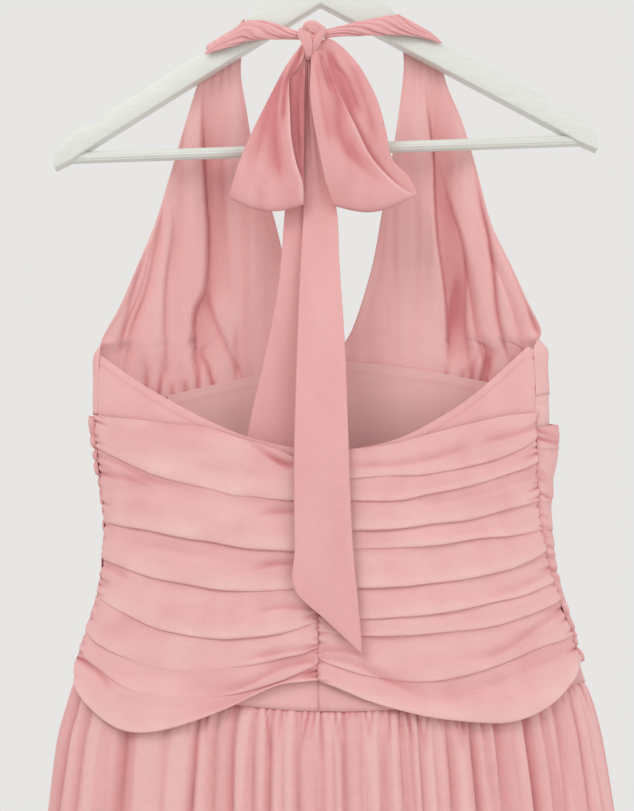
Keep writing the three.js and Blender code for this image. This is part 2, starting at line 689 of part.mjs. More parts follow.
function overlays() {
  const sideAt = (seams, share, height) => bodyPoint(angleBetween(seams, share, height), height).x;
  const acrossBack = (seams, flip) => (share, height) => {
    const [first, last] = [sideAt(seams, 0, height), sideAt(seams, 1, height)];
    const s = (sideAt(seams, share, height) - first) / (last - first);
    return flip ? 1 - s : s;
  };
  const front = ["right", "leftRoundFront"];
  const acrossFront = (share, height) => {
    const reach = (at) => frontReach(angleBetween(front, at, height), height);
    return (reach(0) - reach(share)) / (reach(0) - reach(1));
  };
  const [leftSeams, rightSeams] = [["left", "back"], ["back", "right"]];
  const left = acrossBack(leftSeams, false);
  const right = acrossBack(rightSeams, true);
  return [
    ruchedOverlay("back_drape_left", leftSeams, backColumns, leftBackFolds, left, backWaistHeight),
    ruchedOverlay("back_drape_right", rightSeams, backColumns, rightBackFolds, right, backWaistHeight),
    ruchedOverlay("front_drape", front, frontColumns, frontFolds, acrossFront, frontWaistHeight),
  ];
}

// Halter panels
function panelRow(row, shares, seam) {
  const section = sectionAt(Math.min(row.inHeight, row.outHeight));
  const angleOf = (side) => {
    const sine = (side - section.middle) / section.half;
    return 180 - THREE.MathUtils.radToDeg(Math.asin(sine));
  };
  const inner = angleOf(row.inSide);
  const outer = row.atSeam ? seamAngle(seam, row.outHeight) : angleOf(row.outSide);
  const inset = row.atSeam ? turnOf(seamGap / 2, outer, row.outHeight) * Math.sign(inner - outer) : 0;
  return shares.map((share) => {
    const turn = THREE.MathUtils.degToRad(THREE.MathUtils.lerp(inner, outer + inset, share));
    const height = THREE.MathUtils.lerp(row.inHeight, row.outHeight, share);
    const here = sectionAt(height);
    const depth = Math.cos(turn) > 0 ? here.back : row.belly;
    return new THREE.Vector3(here.middle + here.half * Math.sin(turn), -depth * Math.cos(turn), height);
  });
}

function halterPanel(name, rows, hand) {
  const shares = sharesAcross(4 * panelFolds);
  const seam = hand < 0 ? "leftRoundFront" : "right";
  const sideHeight = seamRows[hand < 0 ? "left" : "right"][rowsAboveBust];
  const foldOf = (share) => Math.sin(2 * Math.PI * panelFolds * (share + foldDrift * Math.sin(5 * share)));
  const grid = strapEnds[hand < 0 ? "left" : "right"].map((end) =>
    shares.map(
      (share) =>
        new THREE.Vector3(
          THREE.MathUtils.lerp(end.inSide, end.outSide, share),
          end.depth,
          THREE.MathUtils.lerp(end.inHeight, end.outHeight, share),
        ),
    ),
  );
  for (const row of strapRows) {
    grid.push(
      shares.map((share) => {
        const out = THREE.MathUtils.lerp(row.inner, row.outer, share);
        return fromHanger(woodCentre + hand * out, row.depth, armTopHeight(out) + row.lift);
      }),
    );
  }
  for (const [i, row] of rows.entries()) {
    const proud = shallowFold + foldSwell * Math.sin((Math.PI * (i + 0.6)) / (rows.length + 0.6));
    const pinch = (share) => Math.min(1, Math.min(share, 1 - share) / flatEdge);
    const fold = (p, c) => p.setY(p.y + proud * foldOf(shares[c]) * pinch(shares[c]));
    grid.push(panelRow(row, shares, seam).map(fold));
  }
  grid.push(
    shares.map((share, c) => {
      const outer = seamAngle(seam, sideHeight);
      const inset = turnOf(seamGap / 2, outer, sideHeight) * hand;
      const angle = THREE.MathUtils.lerp(middleFront - 0.1 * hand, outer + inset, share);
      const gather = Math.min(share, 1 - share) > plainEnd ? (c % 2) - 0.5 : 0;
      return bodyPoint(angle, bustHeight(angle) + gatherGap, gather);
    }),
  );
  if (hand > 0) grid.forEach((row) => row.reverse());
  const firstAtSeam = grid.length - 1 - rows.filter((row) => row.atSeam).length;
  const isSeam = (r, c) => r >= firstAtSeam && (c === 0) === hand > 0;
  const tangents = (r, c) => {
    const height = grid[r][c].z;
    return isSeam(r, c) ? bodyTangent(seamAngle(seam, height), height) : null;
  };
  return clothWallMesh(name, grid, { tangents, wall: thinWall, levelBottom: true });
}

// Ties and bow
const tieTwist = 0.5; // in radians, from one section to the next
const tieLobe = 0.12;

function tie(name, sections) {
  const sides = 10;
  const rings = sections.map((section, k) =>
    Array.from({ length: sides }, (_, j) => {
      const turn = (2 * Math.PI * j) / sides;
      const lobe = 1 + tieLobe * Math.cos(2 * (turn - tieTwist * k));
      return new THREE.Vector3(
        section.side,
        section.depth - (section.thick / 2) * lobe * Math.cos(turn),
        section.height + (section.tall / 2) * lobe * Math.sin(turn),
      );
    }),
  );
  if (sections[0].side > sections[1].side) rings.reverse();
  return ringStackMesh(name, rings, cloth);
}

function bowKnot() {
  const sides = 14;
  const rings = knotRows.map((row) =>
    Array.from({ length: sides }, (_, j) => {
      const turn = (2 * Math.PI * j) / sides;
      return new THREE.Vector3(
        row.middle + row.wide * Math.cos(turn),
        knotDepth + row.thick * Math.sin(turn),
        row.height,
      );
    }),
  );
  return ringStackMesh("bow_knot", rings, cloth);
}

// One loop of the bow: its front layer comes down, turns under and goes back up behind. Gathers run down it
// from the knot, and its sides lie further back than its middle.
const loopGathers = { count: 2.5, deep: 1.1, grownBy: 30 };
const loopRounding = 0.35;
const turnUnderDrop = 3;

function bowLoop(name, rows, outerSide) {
  const columns = 10;
  const isLeft = outerSide === "left";
  const bottomShape = (share) =>
    -loopSag[outerSide] * Math.sin(Math.PI * share) + loopTilt[outerSide] * (share - 0.5);
  const layer = (row, depth, spread, near) =>
    sharesAcross(columns).map((share) => {
      const left = row.left + (isLeft ? spread : 0);
      const right = row.right + (isLeft ? 0 : spread);
      const belly = 1 - loopRounding * (2 * share - 1) ** 2;
      const grown = Math.min(1, (rows[0].height - row.height) / loopGathers.grownBy);
      const gathers = loopGathers.deep * Math.sin(2 * Math.PI * loopGathers.count * share) * grown;
      const back = rows[0].back;
      return new THREE.Vector3(
        THREE.MathUtils.lerp(left, right, share),
        back + (depth - back) * belly + gathers * (1 - near),
        row.height + bottomShape(share) * near,
      );
    });
  const near = (i) => THREE.MathUtils.smoothstep(i, 1, rows.length - 1);
  const grid = rows.map((row, i) => layer(row, row.front, 0, near(i)));
  const bottom = rows[rows.length - 1];
  const turnUnder = { ...bottom, height: bottom.height - turnUnderDrop };
  grid.push(layer(turnUnder, (bottom.front + bottom.back) / 2, bottom.spread / 2, 1));
  for (let i = rows.length - 1; i >= 0; i--) {
    grid.push(layer(rows[i], rows[i].back, rows[i].spread, near(i)));
  }
  return clothWallMesh(name, grid, { wall: thinWall });
}

function bowTail(name, rows) {
  const columns = 4;
  const grid = rows.map((row) => {
    const curl = tailCurl * Math.min(1, (row.right - row.left) / fullCurlWidth);
    return sharesAcross(columns).map(
      (share) =>
        new THREE.Vector3(
          THREE.MathUtils.lerp(row.left, row.right, share),
          row.depth - curl * Math.sin(Math.PI * share),
          THREE.MathUtils.lerp(row.leftHeight, row.rightHeight, share),
        ),
    );
  });
  return clothWallMesh(name, grid, { wall: thinWall });
}

// Skirt: each gather is four columns, and the folds deepen towards the hem
const skirtRows = [
  { down: 0, fold: 1.1 },
  { down: 0.02, fold: 2.2 },
  { down: 0.07, fold: 3.8 },
  { down: 0.2, fold: 7 },
  { down: 0.45, fold: 10 },
  { down: 0.72, fold: 12.5 },
  { down: 1, fold: 14 },
];
const foldPattern = [0, 1, 0.1, -1];

// What makes the gathers uneven: how far along the seam they wander, and how their sizes differ
const wander = [
  { share: 0.006, waves: 4 },
  { share: 0.004, waves: 7 },
];
const foldSize = { mean: 0.78, swing: 0.22, turn: 1.7, start: 0.6 };
const flatColumns = 3; // beside each side seam, where the folds run out

function skirtHalf(name, seams, waistOf) {
  const columns = 4 * skirtFolds;
  const unevenly = (share) => {
    const drift = wander.reduce(
      (sum, row) => sum + row.share * Math.sin(2 * Math.PI * row.waves * share),
      0,
    );
    return share + drift * Math.sin(Math.PI * share);
  };
  const angles = sharesAcross(columns).map((share) => angleBetween(seams, unevenly(share), waistReference));
  const sizeOf = (c) => {
    const gather = Math.floor(c / 4);
    return foldSize.mean + foldSize.swing * Math.sin(foldSize.turn * gather + foldSize.start);
  };
  const edge = (c) => Math.min(1, Math.min(c, columns - c) / flatColumns);
  const grid = skirtRows.map((row) =>
    angles.map((angle, c) => {
      const top = waistOf(angle) - gatherGap;
      const height = THREE.MathUtils.lerp(top, hemHeight, row.down);
      return bodyPoint(angle, height, row.fold * foldPattern[c % 4] * sizeOf(c) * edge(c));
    }),
  );
  const tangents = (r, c) => bodyTangent(angles[c === 0 ? 0 : columns], grid[r][c].z);
  return clothWallMesh(name, grid, { tangents, levelTop: true });
}

// Assembly
function build() {
  const dress = new THREE.Group();
  const hanger = new THREE.Group();
  hanger.rotation.y = -hangerTilt;
  hanger.add(hangerWood(), hangerBar(), hangerHook());
  dress.add(hanger);

  dress.add(
    halterPanel("halter_panel_left", leftPanel, -1),
    halterPanel("halter_panel_right", rightPanel, 1),
    ...bands(),
    ...overlays(),
    skirtHalf("skirt_back", ["left", "right"], backWaistHeight),
    skirtHalf("skirt_front", ["right", "leftRoundFront"], frontWaistHeight),
    tie("neck_tie_left", leftTie),
    tie("neck_tie_right", rightTie),
    bowKnot(),
    bowLoop("bow_loop_left", leftLoop, "left"),
    bowLoop("bow_loop_right", rightLoop, "right"),
    bowTail("bow_tail_outer", outerTail),
    bowTail("bow_tail_inner", innerTail),
  );
  return dress;
}

export default build();
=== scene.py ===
import math

import bpy
import numpy as np
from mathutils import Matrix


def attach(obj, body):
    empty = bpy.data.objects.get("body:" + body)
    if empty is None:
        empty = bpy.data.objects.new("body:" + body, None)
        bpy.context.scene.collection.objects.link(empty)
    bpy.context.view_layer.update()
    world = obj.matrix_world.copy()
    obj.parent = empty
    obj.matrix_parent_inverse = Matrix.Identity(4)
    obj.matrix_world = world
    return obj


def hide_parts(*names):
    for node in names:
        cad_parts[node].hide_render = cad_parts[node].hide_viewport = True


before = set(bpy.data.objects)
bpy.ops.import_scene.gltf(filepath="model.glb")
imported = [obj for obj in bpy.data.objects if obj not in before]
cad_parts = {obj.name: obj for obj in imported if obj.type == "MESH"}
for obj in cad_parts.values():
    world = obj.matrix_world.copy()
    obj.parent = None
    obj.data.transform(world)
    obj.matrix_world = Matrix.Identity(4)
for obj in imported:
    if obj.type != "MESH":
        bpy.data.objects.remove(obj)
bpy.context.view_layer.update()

# All tables are in millimetres, in the part's own frame: +Z up, the dress's back towards -Y.
mm = 0.001


# Helpers for tables and cloth

def lookUp(rows, values, column, key=0):
    # one column of a table, on a smooth curve through its points, read where the key column has these values
    rows = np.asarray(rows, float)
    keys, values = rows[:, key], np.asarray(values, float)
    if keys[-1] < keys[0]:
        keys, values = -keys, -values
    last = len(keys) - 1
    i = np.clip(np.searchsorted(keys, values, side="right") - 1, 0, last - 1)
    before, after = np.maximum(i - 1, 0), np.minimum(i + 2, last)
    span = keys[i + 1] - keys[i]
    t = np.clip((values - keys[i]) / span, 0, 1)
    column = rows[:, column]
    slopeA = (column[i + 1] - column[before]) / (keys[i + 1] - keys[before]) * span
    slopeB = (column[after] - column[i]) / (keys[after] - keys[i]) * span
    tt, ttt = t * t, t * t * t
    return ((2 * ttt - 3 * tt + 1) * column[i] + (ttt - 2 * tt + t) * slopeA
            + (3 * tt - 2 * ttt) * column[i + 1] + (ttt - tt) * slopeB)


def smooth(value, low, high):
    t = np.clip((value - low) / (high - low), 0, 1)
    return t * t * (3 - 2 * t)


def blend(a, b, t):
    return a + (b - a) * t


noiseField = {"cells": 61, "shift": 200}


def softNoise(x, y, seed):
    # soft hills and hollows between -1 and 1; the shift keeps all places above zero
    count, shift = noiseField["cells"], noiseField["shift"]
    cells = np.random.default_rng(seed).random((count, count)) * 2 - 1
    x, y = np.broadcast_arrays(np.asarray(x, float) + shift, np.asarray(y, float) + shift)
    i, j = np.floor(x).astype(int), np.floor(y).astype(int)
    u, v = smooth(x - i, 0, 1), smooth(y - j, 0, 1)

    def cell(a, b):
        return cells[a % count, b % count]

    near = blend(cell(i, j), cell(i + 1, j), u)
    far = blend(cell(i, j + 1), cell(i + 1, j + 1), u)
    return blend(near, far, v)


def swells(places, creases):
    # 0 at each crease and 1 half way between two
    k = np.clip(np.searchsorted(creases, places, side="right") - 1, 0, len(creases) - 2)
    share = np.clip((places - creases[k]) / (creases[k + 1] - creases[k]), 0, 1)
    return np.sin(np.pi * share) ** 0.75


# A crease's ends: how far past its points it runs, and over what share of its height it fades
creaseEnds = {"above": 3, "below": 8, "fadeTop": 0.3, "fadeBottom": 0.15}
# The thin line of painted shade at the bottom of each crease
thinShadeLine = {"tone": 0.45, "wide": 1.1, "deep": 0.4}


def foldLines(side, height, lines):
    # creases along given points from the top down, each with its depth, its reach to the left and
    # to the right of the line, and how much painted shade it gets
    deep, dark = np.zeros((2, *side.shape))
    for points, depth, left, right, shade in lines:
        line = np.array(points, float)
        away = side - lookUp(line, height, 0, key=1)
        off = away / np.where(away < 0, left, right)
        top, bottom = line[0, 1], line[-1, 1]
        begins = smooth(height, top + creaseEnds["above"], blend(top, bottom, creaseEnds["fadeTop"]))
        stops = smooth(height, bottom - creaseEnds["below"], blend(bottom, top, creaseEnds["fadeBottom"]))
        ends = begins * stops
        shape = np.exp(-off * off) * ends
        # painted shade along each crease, with a thin darker line at its bottom
        thin = thinShadeLine["tone"] * np.exp(-(away / thinShadeLine["wide"]) ** 2) * ends
        deep += depth * (shape + thinShadeLine["deep"] * thin)
        dark += shade * (shape + thin)
    return deep, dark


# How the small creases along a seam differ: the least share of each measure, and what is added at most
tuckSpread = {"reach": (0.35, 1.5), "deep": (0.55, 0.6), "wide": (0.8, 0.6), "pitch": (0.55, 0.9)}
# A higher power makes fewer of them large; the lean is how far their directions differ
tuckDice = {"fewLarge": 1.6, "lean": 0.35}


def tuckList(start, end, pitch, reach, lean, deep, wide, seed):
    # places for the small creases along a seam, each with its reach, lean, depth and width
    dice = np.random.default_rng(seed)

    def varied(measure, share):
        least, added = tuckSpread[measure]
        return least + added * share

    made, place = [], start
    while place < end:
        size = dice.random() ** tuckDice["fewLarge"]
        leaning = lean + tuckDice["lean"] * (dice.random() - 0.5)
        made.append((place, reach * varied("reach", size), leaning,
                     deep * varied("deep", size), wide * varied("wide", dice.random())))
        place += pitch * varied("pitch", dice.random())
    return made


def tucks(along, away, marks):
    # how deep the small creases are, by place along the seam and distance from it
    deep = np.zeros(np.broadcast(along, away).shape)
    for place, reach, lean, depth, wide in marks:
        part = np.clip(away / reach, 0, 1)
        off = (along - place - lean * away) / (wide * (0.75 + 0.9 * part))
        deep += depth * np.exp(-off * off) * (1 - part) ** 1.2
    return deep


def smoothRows(keys, step):
    # keys[row][column] are points; returns finer rows on smooth curves through them
    gaps = np.linalg.norm(np.diff(keys.mean(1), axis=0), axis=1)
    along = np.concatenate([[0], np.cumsum(gaps)])
    wanted = np.linspace(0, along[-1], int(along[-1] / step) + 1)
    flat = keys.reshape(len(keys), -1)
    rows = np.concatenate([along[:, None], flat], 1)
    made = np.stack([lookUp(rows, wanted, c + 1) for c in range(flat.shape[1])], 1)
    return made.reshape(len(wanted), *keys.shape[1:]), wanted


def shares(count):
    return np.linspace(0, 1, count + 1)


def seamShares(count, crowding=0.55):
    # columns that stand closer together near both seams
    t = shares(count)
    return t - crowding * np.sin(2 * np.pi * t) / (2 * np.pi)


# Materials

# the lip colour is a painted highlight and the fold colour painted shade, both partly the look of doubled
# sheer cloth; the open colour lies between them
cloth = {
    "litLipColor": (0.80, 0.505, 0.49),
    "openColor": (0.775, 0.43, 0.425),
    "shadedFoldColor": (0.60, 0.215, 0.225),
    "openTone": 0.3,
    "roughness": 0.85,
    "sheen": 0.12,
    "sheenRoughness": 0.5,
    "shine": 0.2,
    "soft": 0.08,
    "softRadius": (1.0, 0.5, 0.5),
    "softScale": 0.002,
    "weaveDepth": 0.00005,
    "weaveStrength": 0.4,
    "clouds": 0.9,
}
# Threads and clouds to a metre, across and along the cloth, and the detail of the noise
threads = {"warp": (1000, 170, 2), "weft": (150, 900, 2), "clouds": (55, 70, 3)}
paintLook = {
    "coat": 0.2, "coatRoughness": 0.2, "grain": (40, 260, 260), "bumpStrength": 0.25, "bumpDepth": 0.00015,
    "dark": (0.655, 0.672, 0.625), "pale": (0.70, 0.715, 0.67), "smooth": 0.36, "rough": 0.5,
}
steelLook = {
    "brushing": 600, "dark": (0.55, 0.56, 0.57), "pale": (0.64, 0.65, 0.66), "smooth": 0.22, "rough": 0.34,
}


def node(tree, kind, **settings):
    made = tree.nodes.new(kind)
    for name, value in settings.items():
        setattr(made, name, value)
    return made


def newMaterial(name):
    material = bpy.data.materials.new(name)
    material.use_nodes = True
    tree = material.node_tree
    return material, tree, tree.nodes["Principled BSDF"]


def setSockets(target, values):
    for socket, value in values.items():
        target.inputs[socket].default_value = value


def noiseOf(tree, coordinate, scale, stretch, detail, **settings):
    mapping = node(tree, "ShaderNodeMapping")
    mapping.inputs["Scale"].default_value = stretch
    tree.links.new(node(tree, "ShaderNodeTexCoord").outputs[coordinate], mapping.inputs["Vector"])
    noise = node(tree, "ShaderNodeTexNoise", **settings)
    setSockets(noise, {"Scale": scale, "Detail": detail})
    tree.links.new(mapping.outputs["Vector"], noise.inputs["Vector"])
    return noise.outputs["Fac"]


def rampOf(tree, source, first, last, *between):
    # a colour ramp; each stop is its place and its colour
    ramp = node(tree, "ShaderNodeValToRGB")
    stops = ramp.color_ramp.elements
    for k, (place, color) in enumerate((first, last)):
        stops[k].position = place
        stops[k].color = (*color, 1)
    for place, color in between:
        stops.new(place).color = (*color, 1)
    tree.links.new(source, ramp.inputs["Fac"])
    return ramp.outputs["Color"]


def greyRamp(tree, source, low, high):
    return rampOf(tree, source, (0.3, (low,) * 3), (0.7, (high,) * 3))


def addBump(tree, shader, source, strength, depth):
    bump = node(tree, "ShaderNodeBump")
    setSockets(bump, {"Strength": strength, "Distance": depth})
    tree.links.new(source, bump.inputs["Height"])
    tree.links.new(bump.outputs["Normal"], shader.inputs["Normal"])


def chiffonMaterial(name, mottling):
    material, tree, shader = newMaterial(name)
    setSockets(shader, {
        "Roughness": cloth["roughness"], "Sheen Weight": cloth["sheen"],
        "Sheen Roughness": cloth["sheenRoughness"], "Specular IOR Level": cloth["shine"],
        "Subsurface Weight": cloth["soft"], "Subsurface Radius": cloth["softRadius"],
        "Subsurface Scale": cloth["softScale"],
    })
    warp, weft, clouds = (
        noiseOf(tree, "UV", 1.0, (across, along, 1), detail, noise_dimensions="2D")
        for across, along, detail in (threads["warp"], threads["weft"], threads["clouds"])
    )
    weave = node(tree, "ShaderNodeMath", operation="ADD")
    tree.links.new(warp, weave.inputs[0])
    tree.links.new(weft, weave.inputs[1])
    cloudy = node(tree, "ShaderNodeMath", operation="MULTIPLY_ADD")
    cloudy.inputs[1].default_value = cloth["clouds"]
    tree.links.new(clouds, cloudy.inputs[0])
    tree.links.new(weave.outputs[0], cloudy.inputs[2])
    shade = node(tree, "ShaderNodeMapRange")
    setSockets(shade, {"From Min": 0.9, "From Max": 2.0, "To Min": 1 - mottling, "To Max": 1 + mottling})
    tree.links.new(cloudy.outputs[0], shade.inputs["Value"])
    # the tone that each piece carries picks the colour between a painted highlight on a fold's lit lip and
    # painted shade in its depth, where the doubled sheer cloth also looks deeper
    tone = node(tree, "ShaderNodeAttribute", attribute_name="tone").outputs["Fac"]
    color = rampOf(tree, tone, (0.0, cloth["litLipColor"]), (1.0, cloth["shadedFoldColor"]),
                   (cloth["openTone"], cloth["openColor"]))
    tint = node(tree, "ShaderNodeVectorMath", operation="SCALE")
    tree.links.new(color, tint.inputs[0])
    tree.links.new(shade.outputs["Result"], tint.inputs["Scale"])
    tree.links.new(tint.outputs["Vector"], shader.inputs["Base Color"])
    addBump(tree, shader, weave.outputs[0], cloth["weaveStrength"], cloth["weaveDepth"])
    return material


def paintMaterial():
    material, tree, shader = newMaterial("whitePaint")
    setSockets(shader, {"Coat Weight": paintLook["coat"], "Coat Roughness": paintLook["coatRoughness"]})
    grain = noiseOf(tree, "Object", 1.0, paintLook["grain"], 4)
    color = rampOf(tree, grain, (0.3, paintLook["dark"]), (0.7, paintLook["pale"]))
    tree.links.new(color, shader.inputs["Base Color"])
    rough = greyRamp(tree, grain, paintLook["smooth"], paintLook["rough"])
    tree.links.new(rough, shader.inputs["Roughness"])
    addBump(tree, shader, grain, paintLook["bumpStrength"], paintLook["bumpDepth"])
    return material


def steelMaterial():
    material, tree, shader = newMaterial("hookSteel")
    shader.inputs["Metallic"].default_value = 1.0
    brushed = noiseOf(tree, "Object", steelLook["brushing"], (1, 1, 1), 2)
    color = rampOf(tree, brushed, (0.3, steelLook["dark"]), (0.7, steelLook["pale"]))
    tree.links.new(color, shader.inputs["Base Color"])
    rough = greyRamp(tree, brushed, steelLook["smooth"], steelLook["rough"])
    tree.links.new(rough, shader.inputs["Roughness"])
    return material


chiffon = chiffonMaterial("chiffon", 0.04)
skirtChiffon = chiffonMaterial("skirtChiffon", 0.055)
paint = paintMaterial()
steel = steelMaterial()


# Making pieces

def addPiece(primitive, name, **settings):
    # a primitive that alone is selected
    bpy.ops.object.select_all(action="DESELECT")
    primitive(**settings)
    piece = bpy.context.object
    piece.name = piece.data.name = name
    return piece


def faceOutwards():
    bpy.ops.object.mode_set(mode="EDIT")
    bpy.ops.mesh.select_all(action="SELECT")
    bpy.ops.mesh.normals_make_consistent(inside=False)
    bpy.ops.object.mode_set(mode="OBJECT")


def placesOf(mesh):
    flat = np.empty(len(mesh.vertices) * 3)
    mesh.vertices.foreach_get("co", flat)
    return flat.reshape(-1, 3).T


def finishPiece(piece, cadNode, material):
    piece.data.materials.clear()
    piece.data.materials.append(material)
    for face in piece.data.polygons:
        face.use_smooth = True
    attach(piece, "root")
    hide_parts(cadNode)


# the tone attribute holds each place's painted shade and painted highlight, along with its seams and random
# mottling
def addTone(mesh, tone):
    mesh.attributes.new("tone", "FLOAT", "POINT").data.foreach_set("value", np.clip(tone, 0, 1))


def cutOf(points):
    # the flat cut of a sheet in metres: its widest row, its longest column and its area
    across, down = np.diff(points, axis=1), np.diff(points, axis=0)
    wide = np.linalg.norm(across, axis=2).sum(1).max() * mm
    long = np.linalg.norm(down, axis=2).sum(0).max() * mm
    area = np.linalg.norm(np.cross(across[:-1], down[:, :-1]), axis=2).sum() * mm * mm
    return wide, long, area


def makeSheet(name, points, tone, thick=0.6, material=chiffon):
    rows, columns = points.shape[:2]
    tone = tone + 0 * points[..., 0]
    piece = addPiece(bpy.ops.mesh.primitive_grid_add, name + "_made",
                     x_subdivisions=columns - 1, y_subdivisions=rows - 1, size=2)
    mesh = piece.data
    x, y, _ = placesOf(mesh)
    across = np.rint((x + 1) / 2 * (columns - 1)).astype(int)
    down = np.rint((1 - y) / 2 * (rows - 1)).astype(int)
    mesh.vertices.foreach_set("co", (points[down, across] * mm).ravel())
    addTone(mesh, tone[down, across])
    # the weave follows the cloth's own width and length in metres
    wide, long, area = cutOf(points)
    uv = np.empty(len(mesh.loops) * 2)
    mesh.uv_layers.active.data.foreach_get("uv", uv)
    uv[0::2] *= wide
    uv[1::2] *= long
    mesh.uv_layers.active.data.foreach_set("uv", uv)
    mesh.update()
    wall = piece.modifiers.new("wall", "SOLIDIFY")
    wall.thickness = thick * mm
    wall.offset = -1
    bpy.ops.object.modifier_apply(modifier=wall.name)
    finishPiece(piece, name, material)
    triangles = len(mesh.polygons) * 2
    print(name, "cut", round(wide, 3), "by", round(long, 3), "area", round(area, 4), "triangles", triangles)


def makeRoll(name, rings, tone):
    # rings[row][k] are points round a closed roll of cloth; the sphere's two poles close its ends
    rows, sides = rings.shape[:2]
    piece = addPiece(bpy.ops.mesh.primitive_uv_sphere_add, name + "_made",
                     segments=sides, ring_count=rows + 1, radius=1)
    mesh = piece.data
    x, y, z = placesOf(mesh)
    ring = np.rint((np.arccos(np.clip(z, -1, 1)) / np.pi) * (rows + 1)).astype(int) - 1
    side = np.rint((np.arctan2(y, x) % (2 * np.pi)) / (2 * np.pi) * sides).astype(int) % sides
    inner = np.clip(ring, 0, rows - 1)
    points = rings[inner, side]
    points[ring < 0] = rings[0].mean(0)
    points[ring > rows - 1] = rings[-1].mean(0)
    mesh.vertices.foreach_set("co", (points * mm).ravel())
    addTone(mesh, tone[inner, side])
    mesh.update()
    faceOutwards()
    return piece


# The body that the cloth hangs on: height, left side, right side, depth of the back and of the front
bodySections = np.array([
    (-374, -184, 185, 25, 37), (-400, -185.5, 186, 28, 36), (-435, -186, 187, 31, 35),
    (-475, -181.5, 186, 33, 35), (-525, -174, 184, 34, 36), (-565, -175, 187, 35, 37),
    (-600, -181.5, 196, 37, 39), (-633, -192, 206, 39, 41), (-660, -199, 214.5, 40, 43),
    (-685, -206, 221.5, 42, 45), (-705, -211, 226, 44, 47), (-762, -218, 235, 48, 51),
    (-1000, -249, 269, 56, 59), (-1325, -281, 303, 63, 66),
], float)
# Side seams: height, then degrees round the body from the middle of the back to the left and right seam
sideSeams = np.array([
    (-374, -77, 70), (-435, -78, 69), (-458, -79, 67), (-516, -84, 70),
    (-578, -87, 76.5), (-641, -88, 82), (-1325, -88, 82),
], float)
# Heights of the rows down each seam, shared by the pieces on both its sides
seamRows = {
    "left": np.array([-394, -418, -441, -478, -515, -552, -588, -625, -659], float),
    "right": np.array([-389, -408, -427, -466, -505, -544, -583, -622, -660], float),
    "back": np.array([-474, -500, -525, -551, -577, -603, -629, -655, -680], float),
}
# Edges that run round the body: place to the side, height
backTopEdge = [(-182, -394), (-126, -431), (-61, -463), (-2, -474), (59, -466), (110, -439), (169, -389)]
bustSeam = [
    (-190, -441), (-120, -423), (-62, -409), (7, -395), (80, -401.5), (144, -414.5), (186, -423), (204, -427),
]
backWaistSeam = [(-199, -659), (-127, -667.5), (-2, -680), (129, -672.5), (212.5, -660)]
frontWaistSeam = [(-200, -659), (-120, -675), (8, -686), (125, -675), (216.5, -660)]
# Neighbouring pieces run past one another by the two overlaps, which closes the seams
body = {
    "backSeamSide": -2, "hem": -1325, "waist": -670, "bust": -420, "seamOverlap": 0.8, "gatherOverlap": 0.6,
}


def bodyAt(height):
    left, right, back, front = (lookUp(bodySections, height, c) for c in (1, 2, 3, 4))
    return (left + right) / 2, (right - left) / 2, back, front


def onBody(angle, height, out=0.0):
    middle, half, back, front = bodyAt(height)
    turn = np.radians(angle)
    deep = np.where(np.cos(turn) > 0, back, front)
    parts = (middle + (half + out) * np.sin(turn), -(deep + out) * np.cos(turn), height)
    return np.stack(np.broadcast_arrays(*parts), -1)


def frontReach(angle, height):
    # the place to the side on the front, which runs on where the front comes round to the back
    middle, half, _, _ = bodyAt(height)
    sine = np.sin(np.radians(angle))
    return middle + half * np.where(angle < 90, 2 - sine, np.where(angle > 270, -2 - sine, sine))


def seamAngle(seam, height):
    if seam == "back":
        middle, half, _, _ = bodyAt(height)
        return np.degrees(np.arcsin((body["backSeamSide"] - middle) / half))
    if seam == "leftRoundFront":
        return 360 + seamAngle("left", height)
    return lookUp(sideSeams, height, 1 if seam == "left" else 2)


def turnOf(distance, angle, height):
    # degrees round the body for a distance along it
    arc = np.linalg.norm(onBody(angle + 0.5, height) - onBody(angle - 0.5, height), axis=-1)
    return distance / arc


def seamInset(angle, height):
    return turnOf(-body["seamOverlap"] / 2, angle, height)


def angleBetween(seams, share, height):
    first, last = (seamAngle(seam, height) for seam in seams)
    return blend(first + seamInset(first, height), last - seamInset(last, height), share)


def backWaist(angle):
    return lookUp(backWaistSeam, onBody(angle, body["waist"])[..., 0], 1)


def frontWaist(angle):
    return lookUp(frontWaistSeam, frontReach(angle, body["waist"]), 1)


def backTop(angle):
    return lookUp(backTopEdge, onBody(angle, body["bust"])[..., 0], 1)


def bust(angle):
    return lookUp(bustSeam, frontReach(angle, body["bust"]), 1)


leftSeams, rightSeams, frontSeams = ("left", "back"), ("back", "right"), ("right", "leftRoundFront")
print("helpers and tables ready")


# The smooth bands under the ruched cloth
bandLook = {
    "columns": 80, "rows": 60, "crowdAtTop": 1.6, "thick": 0.9, "standOff": -0.2, "ripple": 0.5,
    "seamDip": 0.4, "seamWide": 0.9, "boundPlace": 8, "boundWide": 1.3, "boundDip": 0.3,
    "frontLitTone": 0.08, "backTone": 0.33, "seamTone": 0.25, "puckerShade": 0.2, "boundTone": 0.2,
    "clouds": 0.08,
}
bandPuckers = {"start": -700, "end": -380, "pitch": 8, "reach": 7, "lean": 0, "deep": 0.7, "wide": 1.4}
# Over what share of its width the shape of a piece eases in beside its seams
seamEase = 0.06


